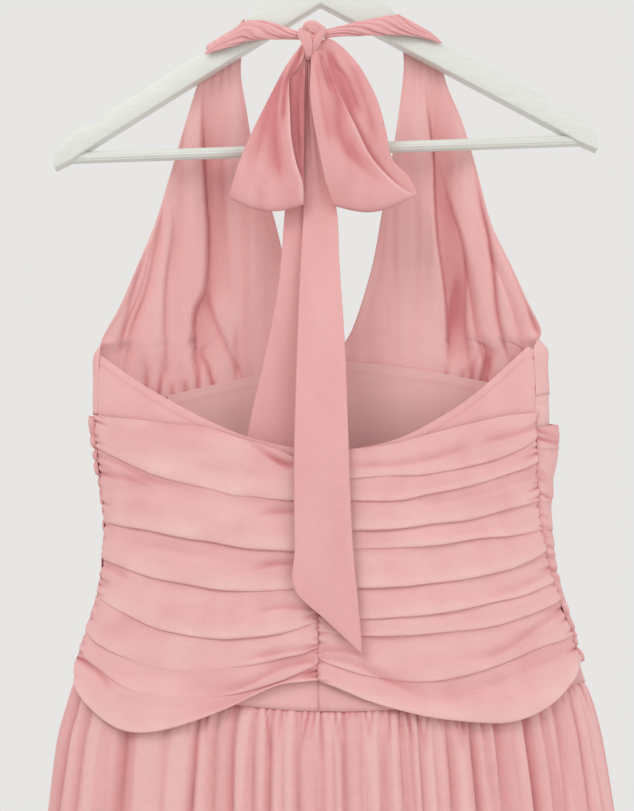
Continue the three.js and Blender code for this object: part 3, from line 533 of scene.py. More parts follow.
def makeBand(name, seams, firstRow, topOf, bottomOf, seed):
    # the front band starts further down the rows of its seams, the back bands with their first
    across = seamShares(bandLook["columns"])[None, :]
    down = shares(bandLook["rows"])[:, None] ** bandLook["crowdAtTop"]
    rows = [seamRows["left" if seam == "leftRoundFront" else seam][firstRow:] for seam in seams]
    place = down * (len(rows[0]) - 1)
    edges = [np.interp(place, np.arange(len(row)), row) for row in rows]
    topLine, bottomLine = (blend(rows[0][k], rows[1][k], across) for k in (0, -1))
    topShift = topOf(angleBetween(seams, across, topLine)) - topLine
    bottomShift = bottomOf(angleBetween(seams, across, bottomLine)) - bottomLine
    inside = smooth(np.minimum(across, 1 - across), 0, seamEase)
    height = blend(edges[0], edges[1], across) + inside * blend(topShift, bottomShift, down)
    angle = angleBetween(seams, across, height)
    _, half, _, _ = bodyAt(height)
    fromSeam = np.minimum(across, 1 - across) * 2 * half * (1 if firstRow else 0.5)
    side = onBody(angle, height)[..., 0]
    ripple = softNoise(side / 30, height / 60, seed) * bandLook["ripple"] * inside
    pucker = tucks(height, fromSeam, tuckList(**bandPuckers, seed=seed + 9))
    seamLine = np.exp(-(fromSeam / bandLook["seamWide"]) ** 2)
    # the bound edge along the open back shows as a fine line
    bound = np.exp(-((height[:1] - height - bandLook["boundPlace"]) / bandLook["boundWide"]) ** 2)
    out = bandLook["standOff"] + ripple - pucker
    out = out - bandLook["seamDip"] * seamLine - bandLook["boundDip"] * bound
    # painted light: the front band's inside gets a lighter tone that lifts the shade it lies in; the puckers
    # get painted shade
    tone = bandLook["frontLitTone" if firstRow else "backTone"] + bandLook["seamTone"] * seamLine
    tone = tone + bandLook["puckerShade"] * pucker + bandLook["boundTone"] * bound
    tone = tone + bandLook["clouds"] * softNoise(side / 14, height / 60, seed + 1)
    makeSheet(name, onBody(angle, height, out), tone, bandLook["thick"])


makeBand("back_band_left", leftSeams, 0, backTop, backWaist, 3)
makeBand("back_band_right", rightSeams, 0, backTop, backWaist, 5)
makeBand("front_band", frontSeams, 2, bust, frontWaist, 7)
print("bands made")


# Ruched cloth over the bands. Each row is the crease under one fold: its height at the side seam, a third
# and two thirds across and at the other seam, how proud the fold stands, and how sharp the crease is at
# those four places.
leftBackFolds = np.array([
    (-444, -451, -464.5, -490, 2.0, 0.3, 0.4, 0.4, 0.5),
    (-470.5, -496, -509, -513.5, 4.4, 0.45, 0.9, 0.95, 0.75),
    (-531, -539.5, -550.5, -555, 5.0, 0.6, 0.85, 0.9, 0.8),
    (-559, -577, -584.5, -581, 4.6, 0.7, 0.7, 0.85, 0.7),
    (-589.5, -614, -622, -609.5, 5.2, 0.7, 0.9, 1.0, 0.6),
    (-615.5, -646, -647.5, -629.5, 4.4, 0.9, 0.1, 0.3, 1.0),
    (-631.5, -667, -666.5, -643, 4.4, 0.9, 0.1, 0.45, 1.0),
    (-642.5, -695.5, -676, -655.5, 4.0, 1.0, 1.0, 1.0, 1.0),
], float)
rightBackFolds = np.array([
    (-441.5, -454, -468, -474, 2.0, 0.3, 0.4, 0.4, 0.5),
    (-462, -487.5, -494.5, -498, 4.4, 0.5, 0.75, 0.7, 0.95),
    (-481.5, -503, -513.5, -513, 4.4, 0.9, 0.8, 0.75, 0.9),
    (-513, -528, -536.5, -537, 4.6, 0.8, 0.95, 0.95, 1.0),
    (-536.5, -544.5, -551.5, -554, 4.6, 0.8, 0.9, 0.75, 0.85),
    (-552.5, -574, -582, -583, 5.0, 0.8, 0.9, 0.95, 1.0),
    (-578, -596.5, -606, -604, 5.0, 0.8, 0.95, 0.95, 0.95),
    (-592.5, -614, -621, -617.5, 4.6, 0.6, 0.7, 0.9, 0.7),
    (-620.5, -643.5, -656.5, -638.5, 4.4, 0.95, 0.35, 0.6, 0.9),
    (-640, -685, -681, -655.5, 4.0, 1.0, 1.0, 1.0, 1.0),
], float)
frontFolds = np.array([
    (-455, -430, -428, -445, 2.0, 0.3, 0.4, 0.4, 0.3),
    (-472, -467, -464, -469, 5.0, 0.35, 0.7, 0.8, 0.35),
    (-492, -496, -493, -493, 5.0, 0.35, 0.9, 0.7, 0.35),
    (-514, -524, -521, -517, 4.6, 0.35, 0.6, 0.9, 0.35),
    (-536, -551, -548, -541, 4.6, 0.35, 0.9, 0.9, 0.35),
    (-556, -579, -577, -564, 4.6, 0.35, 0.8, 0.9, 0.35),
    (-578, -607, -606, -586, 4.6, 0.35, 0.9, 0.6, 0.35),
    (-600, -636, -637, -607, 4.6, 0.35, 0.7, 0.9, 0.35),
    (-622, -666, -667, -628, 4.2, 0.4, 0.5, 0.7, 0.4),
    (-641, -693, -692, -644, 4.0, 0.9, 1.0, 1.0, 0.9),
], float)
# One fold from crease to crease: share of its rows, share of the drop, how far it has swelled
foldShape = [
    (0, 0, 0.3), (0.10, 0.04, 0.34), (0.30, 0.27, 0.48), (0.52, 0.54, 0.7), (0.72, 0.79, 0.92),
    (0.84, 0.95, 1.0), (0.91, 1.02, 0.9), (0.96, 1.035, 0.62), (1, 1, 0.3),
]
# Small folds of their own on the back, from left to right: the places along each, its depth, its width above
# and below, how much painted shade it gets, and over how many millimetres each end fades out
leftExtras = [
    ([(-178, -478), (-160, -484), (-135, -497), (-100, -507)], 1.3, 5, 2, 0.25, 2, 40),
    ([(-177, -493), (-168, -494), (-150, -497), (-132, -503)], 1.6, 5, 1.8, 0.4, 2, 20),
    ([(-60, -466), (-45, -476), (-30, -486), (-20, -490)], 1.6, 4, 2, 0.3, 15, 5),
    ([(-170, -540), (-120, -552), (-70, -562), (-20, -567)], 0.7, 7, 3, 0.12, 40, 40),
    ([(-44, -479), (-30, -485), (-15, -488)], 1.4, 3, 1.5, 0.4, 14, 2),
    ([(-50, -526), (-30, -524), (-15, -525)], 1.3, 4, 1.5, 0.4, 16, 2),
    ([(-54, -570), (-34, -565), (-10, -566)], 1.4, 4, 1.5, 0.4, 18, 2),
    ([(-50, -603), (-30, -599), (-6, -600)], 1.3, 4, 1.5, 0.35, 18, 2),
    ([(-182, -562), (-165, -569), (-140, -583)], 1.2, 5, 2, 0.25, 2, 20),
    ([(-192, -640), (-176, -650), (-158, -665)], 1.8, 5, 2, 0.4, 2, 16),
    ([(-90, -668), (-60, -661), (-30, -646), (-4, -640)], 1.8, 6, 2, 0.35, 30, 2),
    ([(-110, -688), (-70, -676), (-40, -660), (-4, -650)], 1.6, 7, 3, 0.25, 40, 2),
    ([(-60, -640), (-30, -634), (-4, -631)], 1.4, 4, 1.6, 0.35, 20, 2),
]
rightExtras = [
    ([(20, -487), (60, -486), (90, -480), (120, -470)], 0.9, 4, 2, 0.25, 20, 20),
    ([(60, -520), (110, -512), (150, -500), (182, -492)], 0.8, 5, 2, 0.15, 30, 2),
    ([(120, -470), (150, -462), (178, -452)], 1.3, 4, 1.6, 0.3, 20, 2),
    ([(110, -598), (150, -586), (194, -566)], 1.0, 5, 2, 0.2, 30, 2),
    ([(0, -638), (25, -643), (50, -655), (80, -668)], 1.8, 6, 2, 0.35, 2, 30),
    ([(0, -632), (20, -633), (40, -640)], 1.4, 4, 1.6, 0.35, 2, 15),
    ([(60, -664), (100, -668), (150, -652), (205, -632)], 0.9, 7, 3, 0.15, 30, 2),
    ([(110, -640), (140, -634), (185, -606), (206, -598)], 1.2, 5, 2, 0.25, 30, 2),
]
drapeLook = {
    "lift": 2.6, "overSkirt": 6.6, "ripple": 1.2, "crumple": 0.35, "pinned": 0.55, "wander": 1.7,
    "faint": 0.28, "between": 0.9, "seamDip": 0.9, "seamWide": 1.3,
    "shoulder": 7, "shoulderHeight": -462, "shoulderTall": 26,
}
drapeTone = {
    "open": 0.3, "under": 0.34, "lip": 0.2, "turned": 0.5, "tuck": 0.3, "seam": 0.35, "clouds": 0.1,
    "streaks": 0.08,
}
tuckLook = {
    "start": -715, "end": -425, "pitch": 6.4, "reach": 10, "deep": 2.3, "wide": 1.2, "sideLean": -0.3,
    "middleLean": -0.12, "frontSize": 1.5,
}


def crossTable(columns, share):
    # a smooth line through four columns at 0, 1/3, 2/3 and 1
    places = (0, 1 / 3, 2 / 3, 1)
    total = 0
    for i, place in enumerate(places):
        weight = 1
        for other in places:
            if other != place:
                weight = weight * (share - other) / (place - other)
        total = total + columns[i] * weight
    return total


def crossSharp(columns, share):
    # an eased line through the same four places, which never overshoots them
    first = blend(columns[0], columns[1], smooth(share, 0, 1 / 3))
    second = blend(first, columns[2], smooth(share, 1 / 3, 2 / 3))
    return blend(second, columns[3], smooth(share, 2 / 3, 1))


def makeDrape(name, seams, folds, extras, seed, rowsAFold, columns):
    roundFront, flip = "leftRoundFront" in seams, seams[0] == "back"
    across = seamShares(columns)[None, :]
    count = len(folds) - 1
    down = (np.arange(count * rowsAFold + 1) / rowsAFold)[:, None]
    k = np.minimum(down.astype(int), count - 1)
    part = down - k
    above, below = folds[k[:, 0]], folds[k[:, 0] + 1]
    level = ((above[:, 0] + above[:, 3]) / 2)[:, None]
    angle = angleBetween(seams, across, level)
    reach = frontReach(angle, level) if roundFront else onBody(angle, level)[..., 0]
    share = (reach - reach[:, :1]) / (reach[:, -1:] - reach[:, :1])
    share = 1 - share if flip else share

    def fourOf(rows, first):
        return [rows[:, first + i][:, None] for i in range(4)]

    def creaseOf(rows, index):
        wander = drapeLook["wander"] * smooth(np.minimum(share, 1 - share), 0, 0.1)
        return crossTable(fourOf(rows, 0), share) + wander * softNoise(share * 6, index * 3.1, seed + 15)

    top, bottom = creaseOf(above, k), creaseOf(below, k + 1)
    faint = drapeLook["faint"] * softNoise(share * 7, k * 2.3, seed + 2)
    sharpAbove = np.clip(crossSharp(fourOf(above, 5), share) + faint, 0.02, 1)
    sharpBelow = np.clip(crossSharp(fourOf(below, 5), share) + faint, 0.02, 1)
    sharp = blend(sharpAbove, sharpBelow, smooth(part, 0.1, 0.7))
    height = blend(top, bottom, blend(part, lookUp(foldShape, part, 1), sharp))
    swell = blend(0.5, lookUp(foldShape, part, 2), sharp)
    angle = angleBetween(seams, across, height)
    _, half, _, _ = bodyAt(height)
    span = 2 * half * (1 if roundFront else 0.5)
    # distances as they show from behind, so that the creases at the turned-away side seams can be seen
    fromFirst = (1 - share if flip else share) * span
    nearFirst, nearLast = fromFirst, span - fromFirst
    edge = np.minimum(nearFirst, nearLast)
    pinned = blend(drapeLook["pinned"], 1, smooth(edge, 0, 28 if roundFront else 16))
    waist = frontWaist(angle) if roundFront else backWaist(angle)
    lift = blend(drapeLook["lift"], drapeLook["overSkirt"], smooth(waist - height, -14, 4))
    proud = below[:, 4][:, None] * (0.85 + 0.3 * softNoise(share * 4, k * 1.7, seed + 3))
    # small creases that run into the seams, different along each, with the cloth swelling between them
    size = tuckLook["frontSize"] if roundFront else 1
    creased = np.zeros(height.shape)
    for first, distance in ((True, nearFirst), (False, nearLast)):
        lean = tuckLook["sideLean"] if first != flip else tuckLook["middleLean"]
        places = tuckList(tuckLook["start"], tuckLook["end"], tuckLook["pitch"] * size,
                          tuckLook["reach"] * size, lean * size, tuckLook["deep"] * size ** 0.5,
                          tuckLook["wide"] * size, seed + 11 + 4 * first)
        creased += tucks(height, distance, places) * smooth(distance, -1.5, 1.5)
    between = drapeLook["between"] * size * smooth(edge, 0, 5) * np.exp(-edge / 12)
    seamLine = np.exp(-(edge / drapeLook["seamWide"]) ** 2)
    side = onBody(angle, height)[..., 0]
    out = lift + proud * swell * pinned + between - creased - drapeLook["seamDip"] * seamLine
    if roundFront:
        # the front's top fold stands out beside the right side seam
        shoulder = smooth(nearFirst, 2, 22) * np.exp(-(nearFirst / 60) ** 2)
        rise = (height - drapeLook["shoulderHeight"]) / drapeLook["shoulderTall"]
        out = out + drapeLook["shoulder"] * shoulder * np.exp(-rise ** 2)
    out = out + drapeLook["ripple"] * softNoise(share * 3.2, height / 13, seed + 5) * smooth(edge, 2, 20)
    out = out + drapeLook["crumple"] * softNoise(share * 14, height / 7, seed + 7)
    # painted shade along the small folds
    shade = np.zeros(out.shape)
    for places, depth, wideAbove, wideBelow, dark, fadeIn, fadeOut in extras:
        line = np.array(places, float)
        away = height - lookUp(line, side, 1)
        off = away / np.where(away > 0, wideAbove, wideBelow)
        first, last = line[0, 0], line[-1, 0]
        run = smooth(side, first - 4, first + fadeIn) * smooth(-side, -last - 4, -last + fadeOut)
        shape = np.exp(-off * off) * run
        out = out - depth * shape
        shade = shade + dark * shape
    points = onBody(angle, height, out)
    # painted shade under each lip, in the turned-under crease and in the small creases, and a painted
    # highlight on the lip; the cloth also lies doubled there
    under = sharpAbove * smooth(-part, -0.34, 0.0)
    lip = sharp * smooth(part, 0.55, 0.86) * smooth(-part, -0.97, -0.9)
    turned = sharp * smooth(part, 0.93, 0.98)
    tone = drapeTone["open"] + drapeTone["under"] * under * under - drapeTone["lip"] * lip
    tone = tone + drapeTone["turned"] * turned + shade
    tone = tone + drapeTone["tuck"] * creased + drapeTone["seam"] * seamLine
    tone = tone + drapeTone["clouds"] * softNoise(share * 5, height / 10, seed + 6)
    tone = tone + drapeTone["streaks"] * softNoise(share * 17, height / 30, seed + 8)
    makeSheet(name, points, tone)


makeDrape("back_drape_left", leftSeams, leftBackFolds, leftExtras, 21, 30, 150)
makeDrape("back_drape_right", rightSeams, rightBackFolds, rightExtras, 22, 25, 150)
makeDrape("front_drape", frontSeams, frontFolds, [], 23, 14, 210)
print("ruched cloth made")


# Halter panels, from the ties over the hanger's arms and down to the seam under the bust
hanger = {
    "tilt": 2.0, "middle": -3.5, "thickness": 14, "barHeight": -223, "barHalfLength": 211, "barRadius": 4.8,
}
# One half of the wooden arms' outline from the peak on: place to the side, height
woodOutline = [
    (0, -56), (14, -58), (27, -64), (38, -73), (47, -86), (53.5, -99), (57, -106), (62, -113.5), (70, -122),
    (181.5, -187.5), (183.5, -194), (187, -197.4), (190.5, -196), (194, -194.5), (205, -200.8), (215, -208.5),
    (222, -219), (224.5, -229), (223.5, -233), (209, -226), (190, -214), (0, -102),
]
armTop = np.array(woodOutline[:10], float)
# Inner side and height, outer side and height, how far it stands to the front. An outer side of 0 stands for
# the side seam.
rightPanel = [
    (69.5, -146, 105, -165, 10.6), (65.5, -187, 117, -194, 13), (59.5, -227, 129, -232, 19),
    (51.5, -271, 142.5, -281, 27), (44.5, -310, 158.5, -316, 33), (35, -344, 172, -348, 37),
    (26, -369, 182, -373, 38), (16.5, -384, 0, -389, 37.5), (11, -391, 0, -408, 36.5),
]
leftPanel = [
    (-66.5, -154, -106, -177, 10.6), (-61.5, -188, -114, -203, 13), (-54.5, -227, -124, -236, 19),
    (-40, -271, -138, -281, 27), (-30, -310, -153.5, -319, 33), (-20.5, -342, -167, -352, 37),
    (-10.5, -367, -179.5, -378, 38), (-2, -382, 0, -394, 37.5), (3, -390, 0, -418, 36.5),
]
# Inner and outer reach along the arm, lift above its top edge, place through its thickness
strapRows = [
    (65, 94, -2.5, -9.3), (64, 95, 2.4, -7.6), (64, 96, 3.6, 0), (64, 97, 2.4, 7.6), (64, 98, -3, 9.5),
]
# The ends that hang down on the near side of the left and the right arm, in the order of the panels' rows
strapEnds = {
    -1: [(-47.8, -123, -48.8, -132, -10.9), (-54.5, -121.5, -75, -139, -10.8)],
    1: [(66.9, -118, 67.4, -127, -10.9), (71, -117.5, 86, -132, -10.8)],
}
# The cups' creases, in the order that foldLines reads
leftCreases = [
    ([(-97.5, -160), (-98, -198), (-98, -218), (-95.7, -261), (-94.2, -286), (-97, -333), (-105, -352),
      (-106.5, -369), (-104.5, -414)], 6.5, 1.6, 17, 0.42),
    ([(-95, -330), (-92.8, -348), (-82, -375), (-70, -399), (-64, -410)], 2.6, 5, 2, 0.3),
    ([(-123, -263), (-123, -286), (-128.8, -328), (-130, -379), (-127, -419)], 2.6, 2, 7, 0.32),
    ([(-128, -250), (-137, -298), (-145.7, -337), (-157.7, -371), (-162, -406)], 2.4, 2, 6, 0.28),
    ([(-143, -295), (-154, -327), (-162, -363), (-170, -393)], 1.8, 2, 4, 0.25),
    ([(-130, -255), (-140, -298), (-150, -337), (-163, -371), (-168, -404)], 1.2, 1.5, 2.5, 0.15),
    ([(-71, -365), (-71, -380), (-71, -412)], 1.8, 2, 4, 0.25),
    ([(-82, -205), (-82, -228), (-80.5, -277), (-77.5, -318), (-74, -350)], 1.0, 5, 5, 0.12),
    ([(-112, -170), (-113, -210), (-115, -260), (-117, -330), (-117, -380)], 0.8, 6, 6, 0.08),
]
rightCreases = [
    ([(89, -152), (89, -174), (92.8, -210), (94.6, -222), (96, -257), (98.5, -292), (102.8, -322),
      (106, -350), (107.5, -390)], 5.5, 1.6, 16, 0.4),
    ([(98, -228), (108.4, -263), (119.5, -298), (122, -322), (121, -363), (123.7, -382), (123.6, -408)],
     3.6, 11, 1.8, 0.36),
    ([(115, -318), (108, -369), (107.8, -400)], 3.0, 2, 6, 0.35),
    ([(128, -240), (137, -275), (142, -298), (145.7, -327), (148.7, -357), (158, -402)], 3.4, 3, 1.6, 0.5),
    ([(121, -300), (127, -346), (131.7, -375), (138.4, -402)], 3.0, 2, 5, 0.35),
    ([(136, -375), (138, -385), (139.5, -402)], 2.0, 1.6, 2.5, 0.35),
    ([(143, -286), (155, -310), (167.6, -337), (181, -382)], 1.6, 2, 4, 0.2),
    ([(136, -290), (148, -320), (158, -348), (170, -390)], 1.4, 2, 4, 0.18),
    ([(72, -180), (76.5, -244), (86.8, -310), (88, -368)], 0.9, 7, 6, 0.08),
    ([(60, -260), (62, -310), (66, -360)], 0.8, 6, 6, 0.06),
    ([(170, -340), (176, -360), (182, -378)], 1.5, 2, 3, 0.2),
]
panelLook = {
    "columns": 130, "step": 2.6, "tuckedIn": 3, "sewnWide": 190, "sewnIn": 0.9, "ripple": 1.3,
    "crumple": 0.5, "hemPlace": 0.045, "hemWide": 0.012, "hemProud": 0.25,
    "openTone": 0.2, "gatherShade": 0.4, "seamTone": 0.25, "hemTone": 0.06, "clouds": 0.12, "pleatShade": 0.25,
}
panelGathers = {"start": 56, "end": 146, "pitch": 6.2, "reach": 24, "lean": 0.02, "deep": 2.8, "wide": 1.5}
# Folds of a strap where it runs over the arm, as shares of its width
strapPleats = np.array([-0.02, 0.22, 0.36, 0.58, 0.8, 1.02])


def onHanger(side, depth, height):
    tilt = math.radians(hanger["tilt"])
    parts = (side * math.cos(tilt) - height * math.sin(tilt), depth,
             side * math.sin(tilt) + height * math.cos(tilt))
    return np.stack(np.broadcast_arrays(*parts), -1)


def makePanel(name, rows, hand, creases, seed):
    share = shares(panelLook["columns"])
    seam = "leftRoundFront" if hand < 0 else "right"
    keys = []
    for inSide, inHeight, outSide, outHeight, depth in strapEnds[hand]:
        height = blend(inHeight, outHeight, share)
        keys.append(np.stack([blend(inSide, outSide, share), depth + 0 * share, height], -1))
    for inner, outer, lift, depth in strapRows:
        out = blend(inner, outer, share)
        height = np.interp(out, armTop[:, 0], armTop[:, 1]) + lift
        keys.append(onHanger(hanger["middle"] + hand * out, depth, height))
    for inSide, inHeight, outSide, outHeight, belly in rows:
        middle, half, _, _ = bodyAt(min(inHeight, outHeight))
        ends = [180 - np.degrees(np.arcsin((side - middle) / half)) for side in (inSide, outSide)]
        if outSide == 0:
            outer = seamAngle(seam, outHeight)
            ends[1] = outer + seamInset(outer, outHeight) * np.sign(ends[0] - outer)
        turn = np.radians(blend(ends[0], ends[1], share))
        height = blend(inHeight, outHeight, share)
        middle, half, back, _ = bodyAt(height)
        deep = np.where(np.cos(turn) > 0, back, belly)
        keys.append(np.stack([middle + half * np.sin(turn), -deep * np.cos(turn), height], -1))
    sideHeight = seamRows["left" if hand < 0 else "right"][2]
    outer = seamAngle(seam, sideHeight)
    angle = blend(178 - 0.1 * hand, outer + seamInset(outer, sideHeight) * hand, share)
    keys.append(onBody(angle, bust(angle) - panelLook["tuckedIn"], 0.5))
    points, _ = smoothRows(np.stack(keys), panelLook["step"])
    side, height = points[..., 0], points[..., 2]
    across = share[None, :]
    inside = smooth(np.minimum(across, 1 - across), 0, seamEase)
    behind = smooth(-height, 146, 160) * (points[..., 1] > 0)
    low = bust(angle)[None, :]
    # the creases also bring painted shade
    push, tone = foldLines(side, height, creases)
    # gathers into the seam under the bust
    aboveSeam = np.maximum(height - low, 0)
    gathers = tucks(across * panelLook["sewnWide"], aboveSeam, tuckList(**panelGathers, seed=seed))
    seamLine = np.exp(-(aboveSeam / 1.5) ** 2)
    push += gathers - panelLook["sewnIn"] * smooth(across, 0.2, 0.4) * np.exp(-((aboveSeam - 7) / 8) ** 2)
    # painted shade in the gathers
    tone = tone + panelLook["gatherShade"] * gathers + panelLook["seamTone"] * seamLine
    ripple = panelLook["ripple"] * softNoise(side / 13, height / 130, seed + 3)
    push += ripple + panelLook["crumple"] * softNoise(side / 5, height / 60, seed + 5)
    # a turned and stitched edge
    fromHem = np.minimum(across, 1 - across) - panelLook["hemPlace"]
    hemmed = np.exp(-(fromHem / panelLook["hemWide"]) ** 2)
    push += panelLook["hemProud"] * hemmed
    points[..., 1] += push * inside * behind
    tone = panelLook["openTone"] + tone * inside * behind + panelLook["hemTone"] * hemmed
    tone += panelLook["clouds"] * softNoise(side / 9, height / 110, seed + 4)
    # folds running over the arm, with painted shade between them
    over = 1 - smooth(-height, 150, 190)
    pleat = swells(across + 0 * height, strapPleats)
    points[..., 1] += np.where(points[..., 1] > 0, 0.8, -0.5) * pleat * over
    tone += panelLook["pleatShade"] * (1 - pleat) * over
    if hand > 0:
        points, tone = points[:, ::-1], tone[:, ::-1]
    makeSheet(name, points, tone)


makePanel("halter_panel_left", leftPanel, -1, leftCreases, 41)
makePanel("halter_panel_right", rightPanel, 1, rightCreases, 44)
print("halter panels made")


# Skirt, gathered into the dropped waist seam. The valleys between its folds: place to the side at
# the waist seam, depth, reach to the left and to the right, and how much painted shade they get, where the
# doubled sheer cloth also looks deeper
backValleys = [
    (-193, 3.0, 3, 3, 0.3), (-181, 2.6, 3, 4, 0.3), (-152, 5.0, 2.5, 11, 0.6), (-120, 1.2, 5, 5, 0.1),
    (-95, 4.0, 2, 4, 0.5), (-80, 3.2, 4, 6, 0.45), (-65, 2.6, 3, 2, 0.4), (-50, 2.8, 2, 4, 0.4),
    (-37.5, 2.6, 2, 3, 0.35), (-28, 1.5, 2, 2, 0.2), (-17, 3.0, 3, 2, 0.4), (1, 3.0, 3, 5, 0.35),
    (10, 1.6, 2, 2, 0.25), (18, 2.8, 3, 2, 0.35), (32, 1.6, 3, 3, 0.2), (45.5, 2.8, 2, 3, 0.3),
    (61, 2.8, 3, 2, 0.35), (68, 1.4, 2, 2, 0.2), (75, 2.4, 2, 3, 0.3), (86, 1.6, 2, 2, 0.2),
    (96, 2.6, 2, 3, 0.3), (114.5, 4.6, 2, 5, 0.6), (124, 1.2, 2, 3, 0.15), (133, 2.4, 2, 6, 0.35),
    (147, 1.0, 2, 3, 0.1), (157, 4.4, 2, 9, 0.6), (172, 1.2, 2, 3, 0.12), (183, 2.8, 5, 2, 0.4),
    (199, 3.0, 3, 3, 0.35), (207, 1.6, 2, 2, 0.2),
]
skirtLook = {
    "backColumns": 380, "frontColumns": 200, "rows": 90, "crowdAtWaist": 1.5, "openTone": 0.26, "wander": 4.5,
    "drift": 3, "waves": 2.4, "round": 0.9, "standOff": 0.6, "stitchWide": 2.2, "stitchDip": 1.8,
    "gatherShade": 0.42, "stripeTone": 0.22, "stitchTone": 0.3,
}
skirtGathers = {"start": -203, "end": 218, "pitch": 5.4, "reach": 24, "lean": 0.0, "deep": 2.1, "wide": 1.1}
# Down the skirt as a share of its length: how deep the valleys are, how much they have widened
skirtGrowth = [
    (0, 0.4, 0.75), (0.02, 1.0, 0.8), (0.07, 1.6, 0.9), (0.16, 1.9, 1.05), (0.4, 2.3, 1.7), (1, 3.0, 2.8),
]
# The front's valleys, drawn by chance: the least and the added depth, reach to the left, reach to the right
# and painted shade, and the same for the step from one to the next
frontValleys = {
    "start": -204, "end": 222, "spread": [(1.6, 3), (2, 2), (2, 3), (0.2, 0.4)], "step": (8, 14), "seed": 77,
}


def makeSkirt(name, seams, waistOf, valleys, columns, seed):
    across = shares(columns)[None, :]
    down = shares(skirtLook["rows"])[:, None] ** skirtLook["crowdAtWaist"]
    angle = angleBetween(seams, across, body["waist"])
    reach = onBody(angle, body["waist"])[..., 0] if waistOf is backWaist else frontReach(angle, body["waist"])
    growth, widening = lookUp(skirtGrowth, down, 1), lookUp(skirtGrowth, down, 2)
    ends = smooth(np.minimum(across, 1 - across), 0, 0.012)
    deep, dark = np.zeros((2, len(down), columns + 1))
    for i, (place, depth, left, right, shade) in enumerate(valleys):
        wander = skirtLook["wander"] * softNoise(down * 6, i * 3.7, seed) * smooth(down, 0.02, 0.3)
        away = reach - place - wander
        off = away / (np.where(away < 0, left, right) * widening)
        kept = 1 - smooth(down, 0.1, 0.5) * (depth < 2)
        shape = np.exp(-np.abs(off) ** 1.25) * kept
        deep += depth * shape
        dark += shade * shape
    drifting = reach + skirtLook["drift"] * softNoise(reach / 26, down * 5, seed + 1)
    rounded = swells(drifting, np.array([valley[0] for valley in valleys], float))
    fromSeam = down * (body["waist"] - body["hem"])
    gathers = tucks(reach, fromSeam, tuckList(**skirtGathers, seed=seed + 3))
    waves = skirtLook["waves"] * softNoise(reach / 34, down * 4, seed + 5) * smooth(down, 0.03, 0.4)
    stitched = np.exp(-(fromSeam / skirtLook["stitchWide"]) ** 2)
    out = growth * (skirtLook["round"] * rounded + 0.4 - deep) + skirtLook["standOff"]
    out = out - gathers + waves - skirtLook["stitchDip"] * stitched
    height = blend(waistOf(angle) + body["gatherOverlap"], body["hem"], down)
    points = onBody(angle, height, out * ends - 0.8 * (1 - ends))
    # the sheer cloth lies doubled in places, which shows as lighter and deeper stripes
    bent = reach / 5.5 + 0.6 * softNoise(reach / 20, down * 5, seed + 8)
    stripes = smooth(softNoise(bent, down * 1.5, seed + 7), -0.15, 0.3)
    # painted shade in the valleys and in the gathers
    tone = skirtLook["openTone"] + dark * smooth(down, -0.05, 0.06) + skirtLook["gatherShade"] * gathers
    tone = tone + skirtLook["stripeTone"] * (stripes - 0.5) + skirtLook["stitchTone"] * stitched
    makeSheet(name, points, tone, material=skirtChiffon)


def frontValleyList():
    dice = np.random.default_rng(frontValleys["seed"])
    step, added = frontValleys["step"]
    made, place = [], frontValleys["start"]
    while place < frontValleys["end"]:
        made.append((place, *(least + more * dice.random() for least, more in frontValleys["spread"])))
        place += step + added * dice.random()
    return made


makeSkirt("skirt_back", ("left", "right"), backWaist, backValleys, skirtLook["backColumns"],
          51)
makeSkirt("skirt_front", frontSeams, frontWaist, frontValleyList(), skirtLook["frontColumns"],
          56)
print("skirt made")


# The neck ties: the panels' ends gathered and twisted on their way to the knot. Side, depth, height, how
# tall and how thick
leftTie = [
    (-95, -9.9, -145.4, 1.5, 1.2), (-88, -10.8, -141.4, 6, 2.6), (-79, -11.6, -137.6, 9.5, 4),
    (-70, -12.6, -132.8, 14.5, 5.4), (-62, -13.4, -128, 18, 6.4), (-50, -14, -127.3, 17.5, 7.4),
    (-40, -14.6, -128, 15, 7.6), (-30, -15, -129.6, 11.4, 7.6), (-21, -15.4, -131.6, 7.8, 7),
    (-13, -15.6, -132.6, 6.4, 6),
]
rightTie = [
    (100, -9.8, -136.4, 1.5, 1.2), (90, -10.8, -130.8, 7, 2.8), (80, -11.8, -127, 10.5, 4.4),
    (71, -12.8, -124.2, 15, 5.8), (64, -13.6, -122.6, 18, 6.8), (54, -14, -123.2, 17, 7.6),
    (42, -14.4, -124.8, 15, 7.8), (28, -14.8, -126.6, 12, 7.8), (14, -15.2, -128.8, 9, 7.2),
    (4, -15.4, -130.6, 7.4, 6.4), (-2, -15.6, -131, 6.4, 6),
]
tieLook = {
    "sides": 80, "rows": 96, "turns": 0.62, "creaseDepth": 0.34, "sway": 0.06, "openTone": 0.3,
    "creaseShade": 0.55, "clouds": 0.1,
}
# Lengthwise creases round a roll, as shares of its way round, and how deep each is
tieCreases = [
    (0.03, 1.0), (0.13, 0.6), (0.29, 0.9), (0.38, 0.5), (0.52, 1.0), (0.66, 0.6), (0.79, 0.9),
    (0.91, 0.5),
]


def creasedRound(share, creases, wide=0.03):
    # how far a place round a roll is in one of its creases, from 0 to 1
    total = 0
    for place, strength in creases:
        away = (share - place + 0.5) % 1 - 0.5
        total = total + strength * np.exp(-np.abs(away / wide) ** 1.4)
    return np.clip(total, 0, 1)


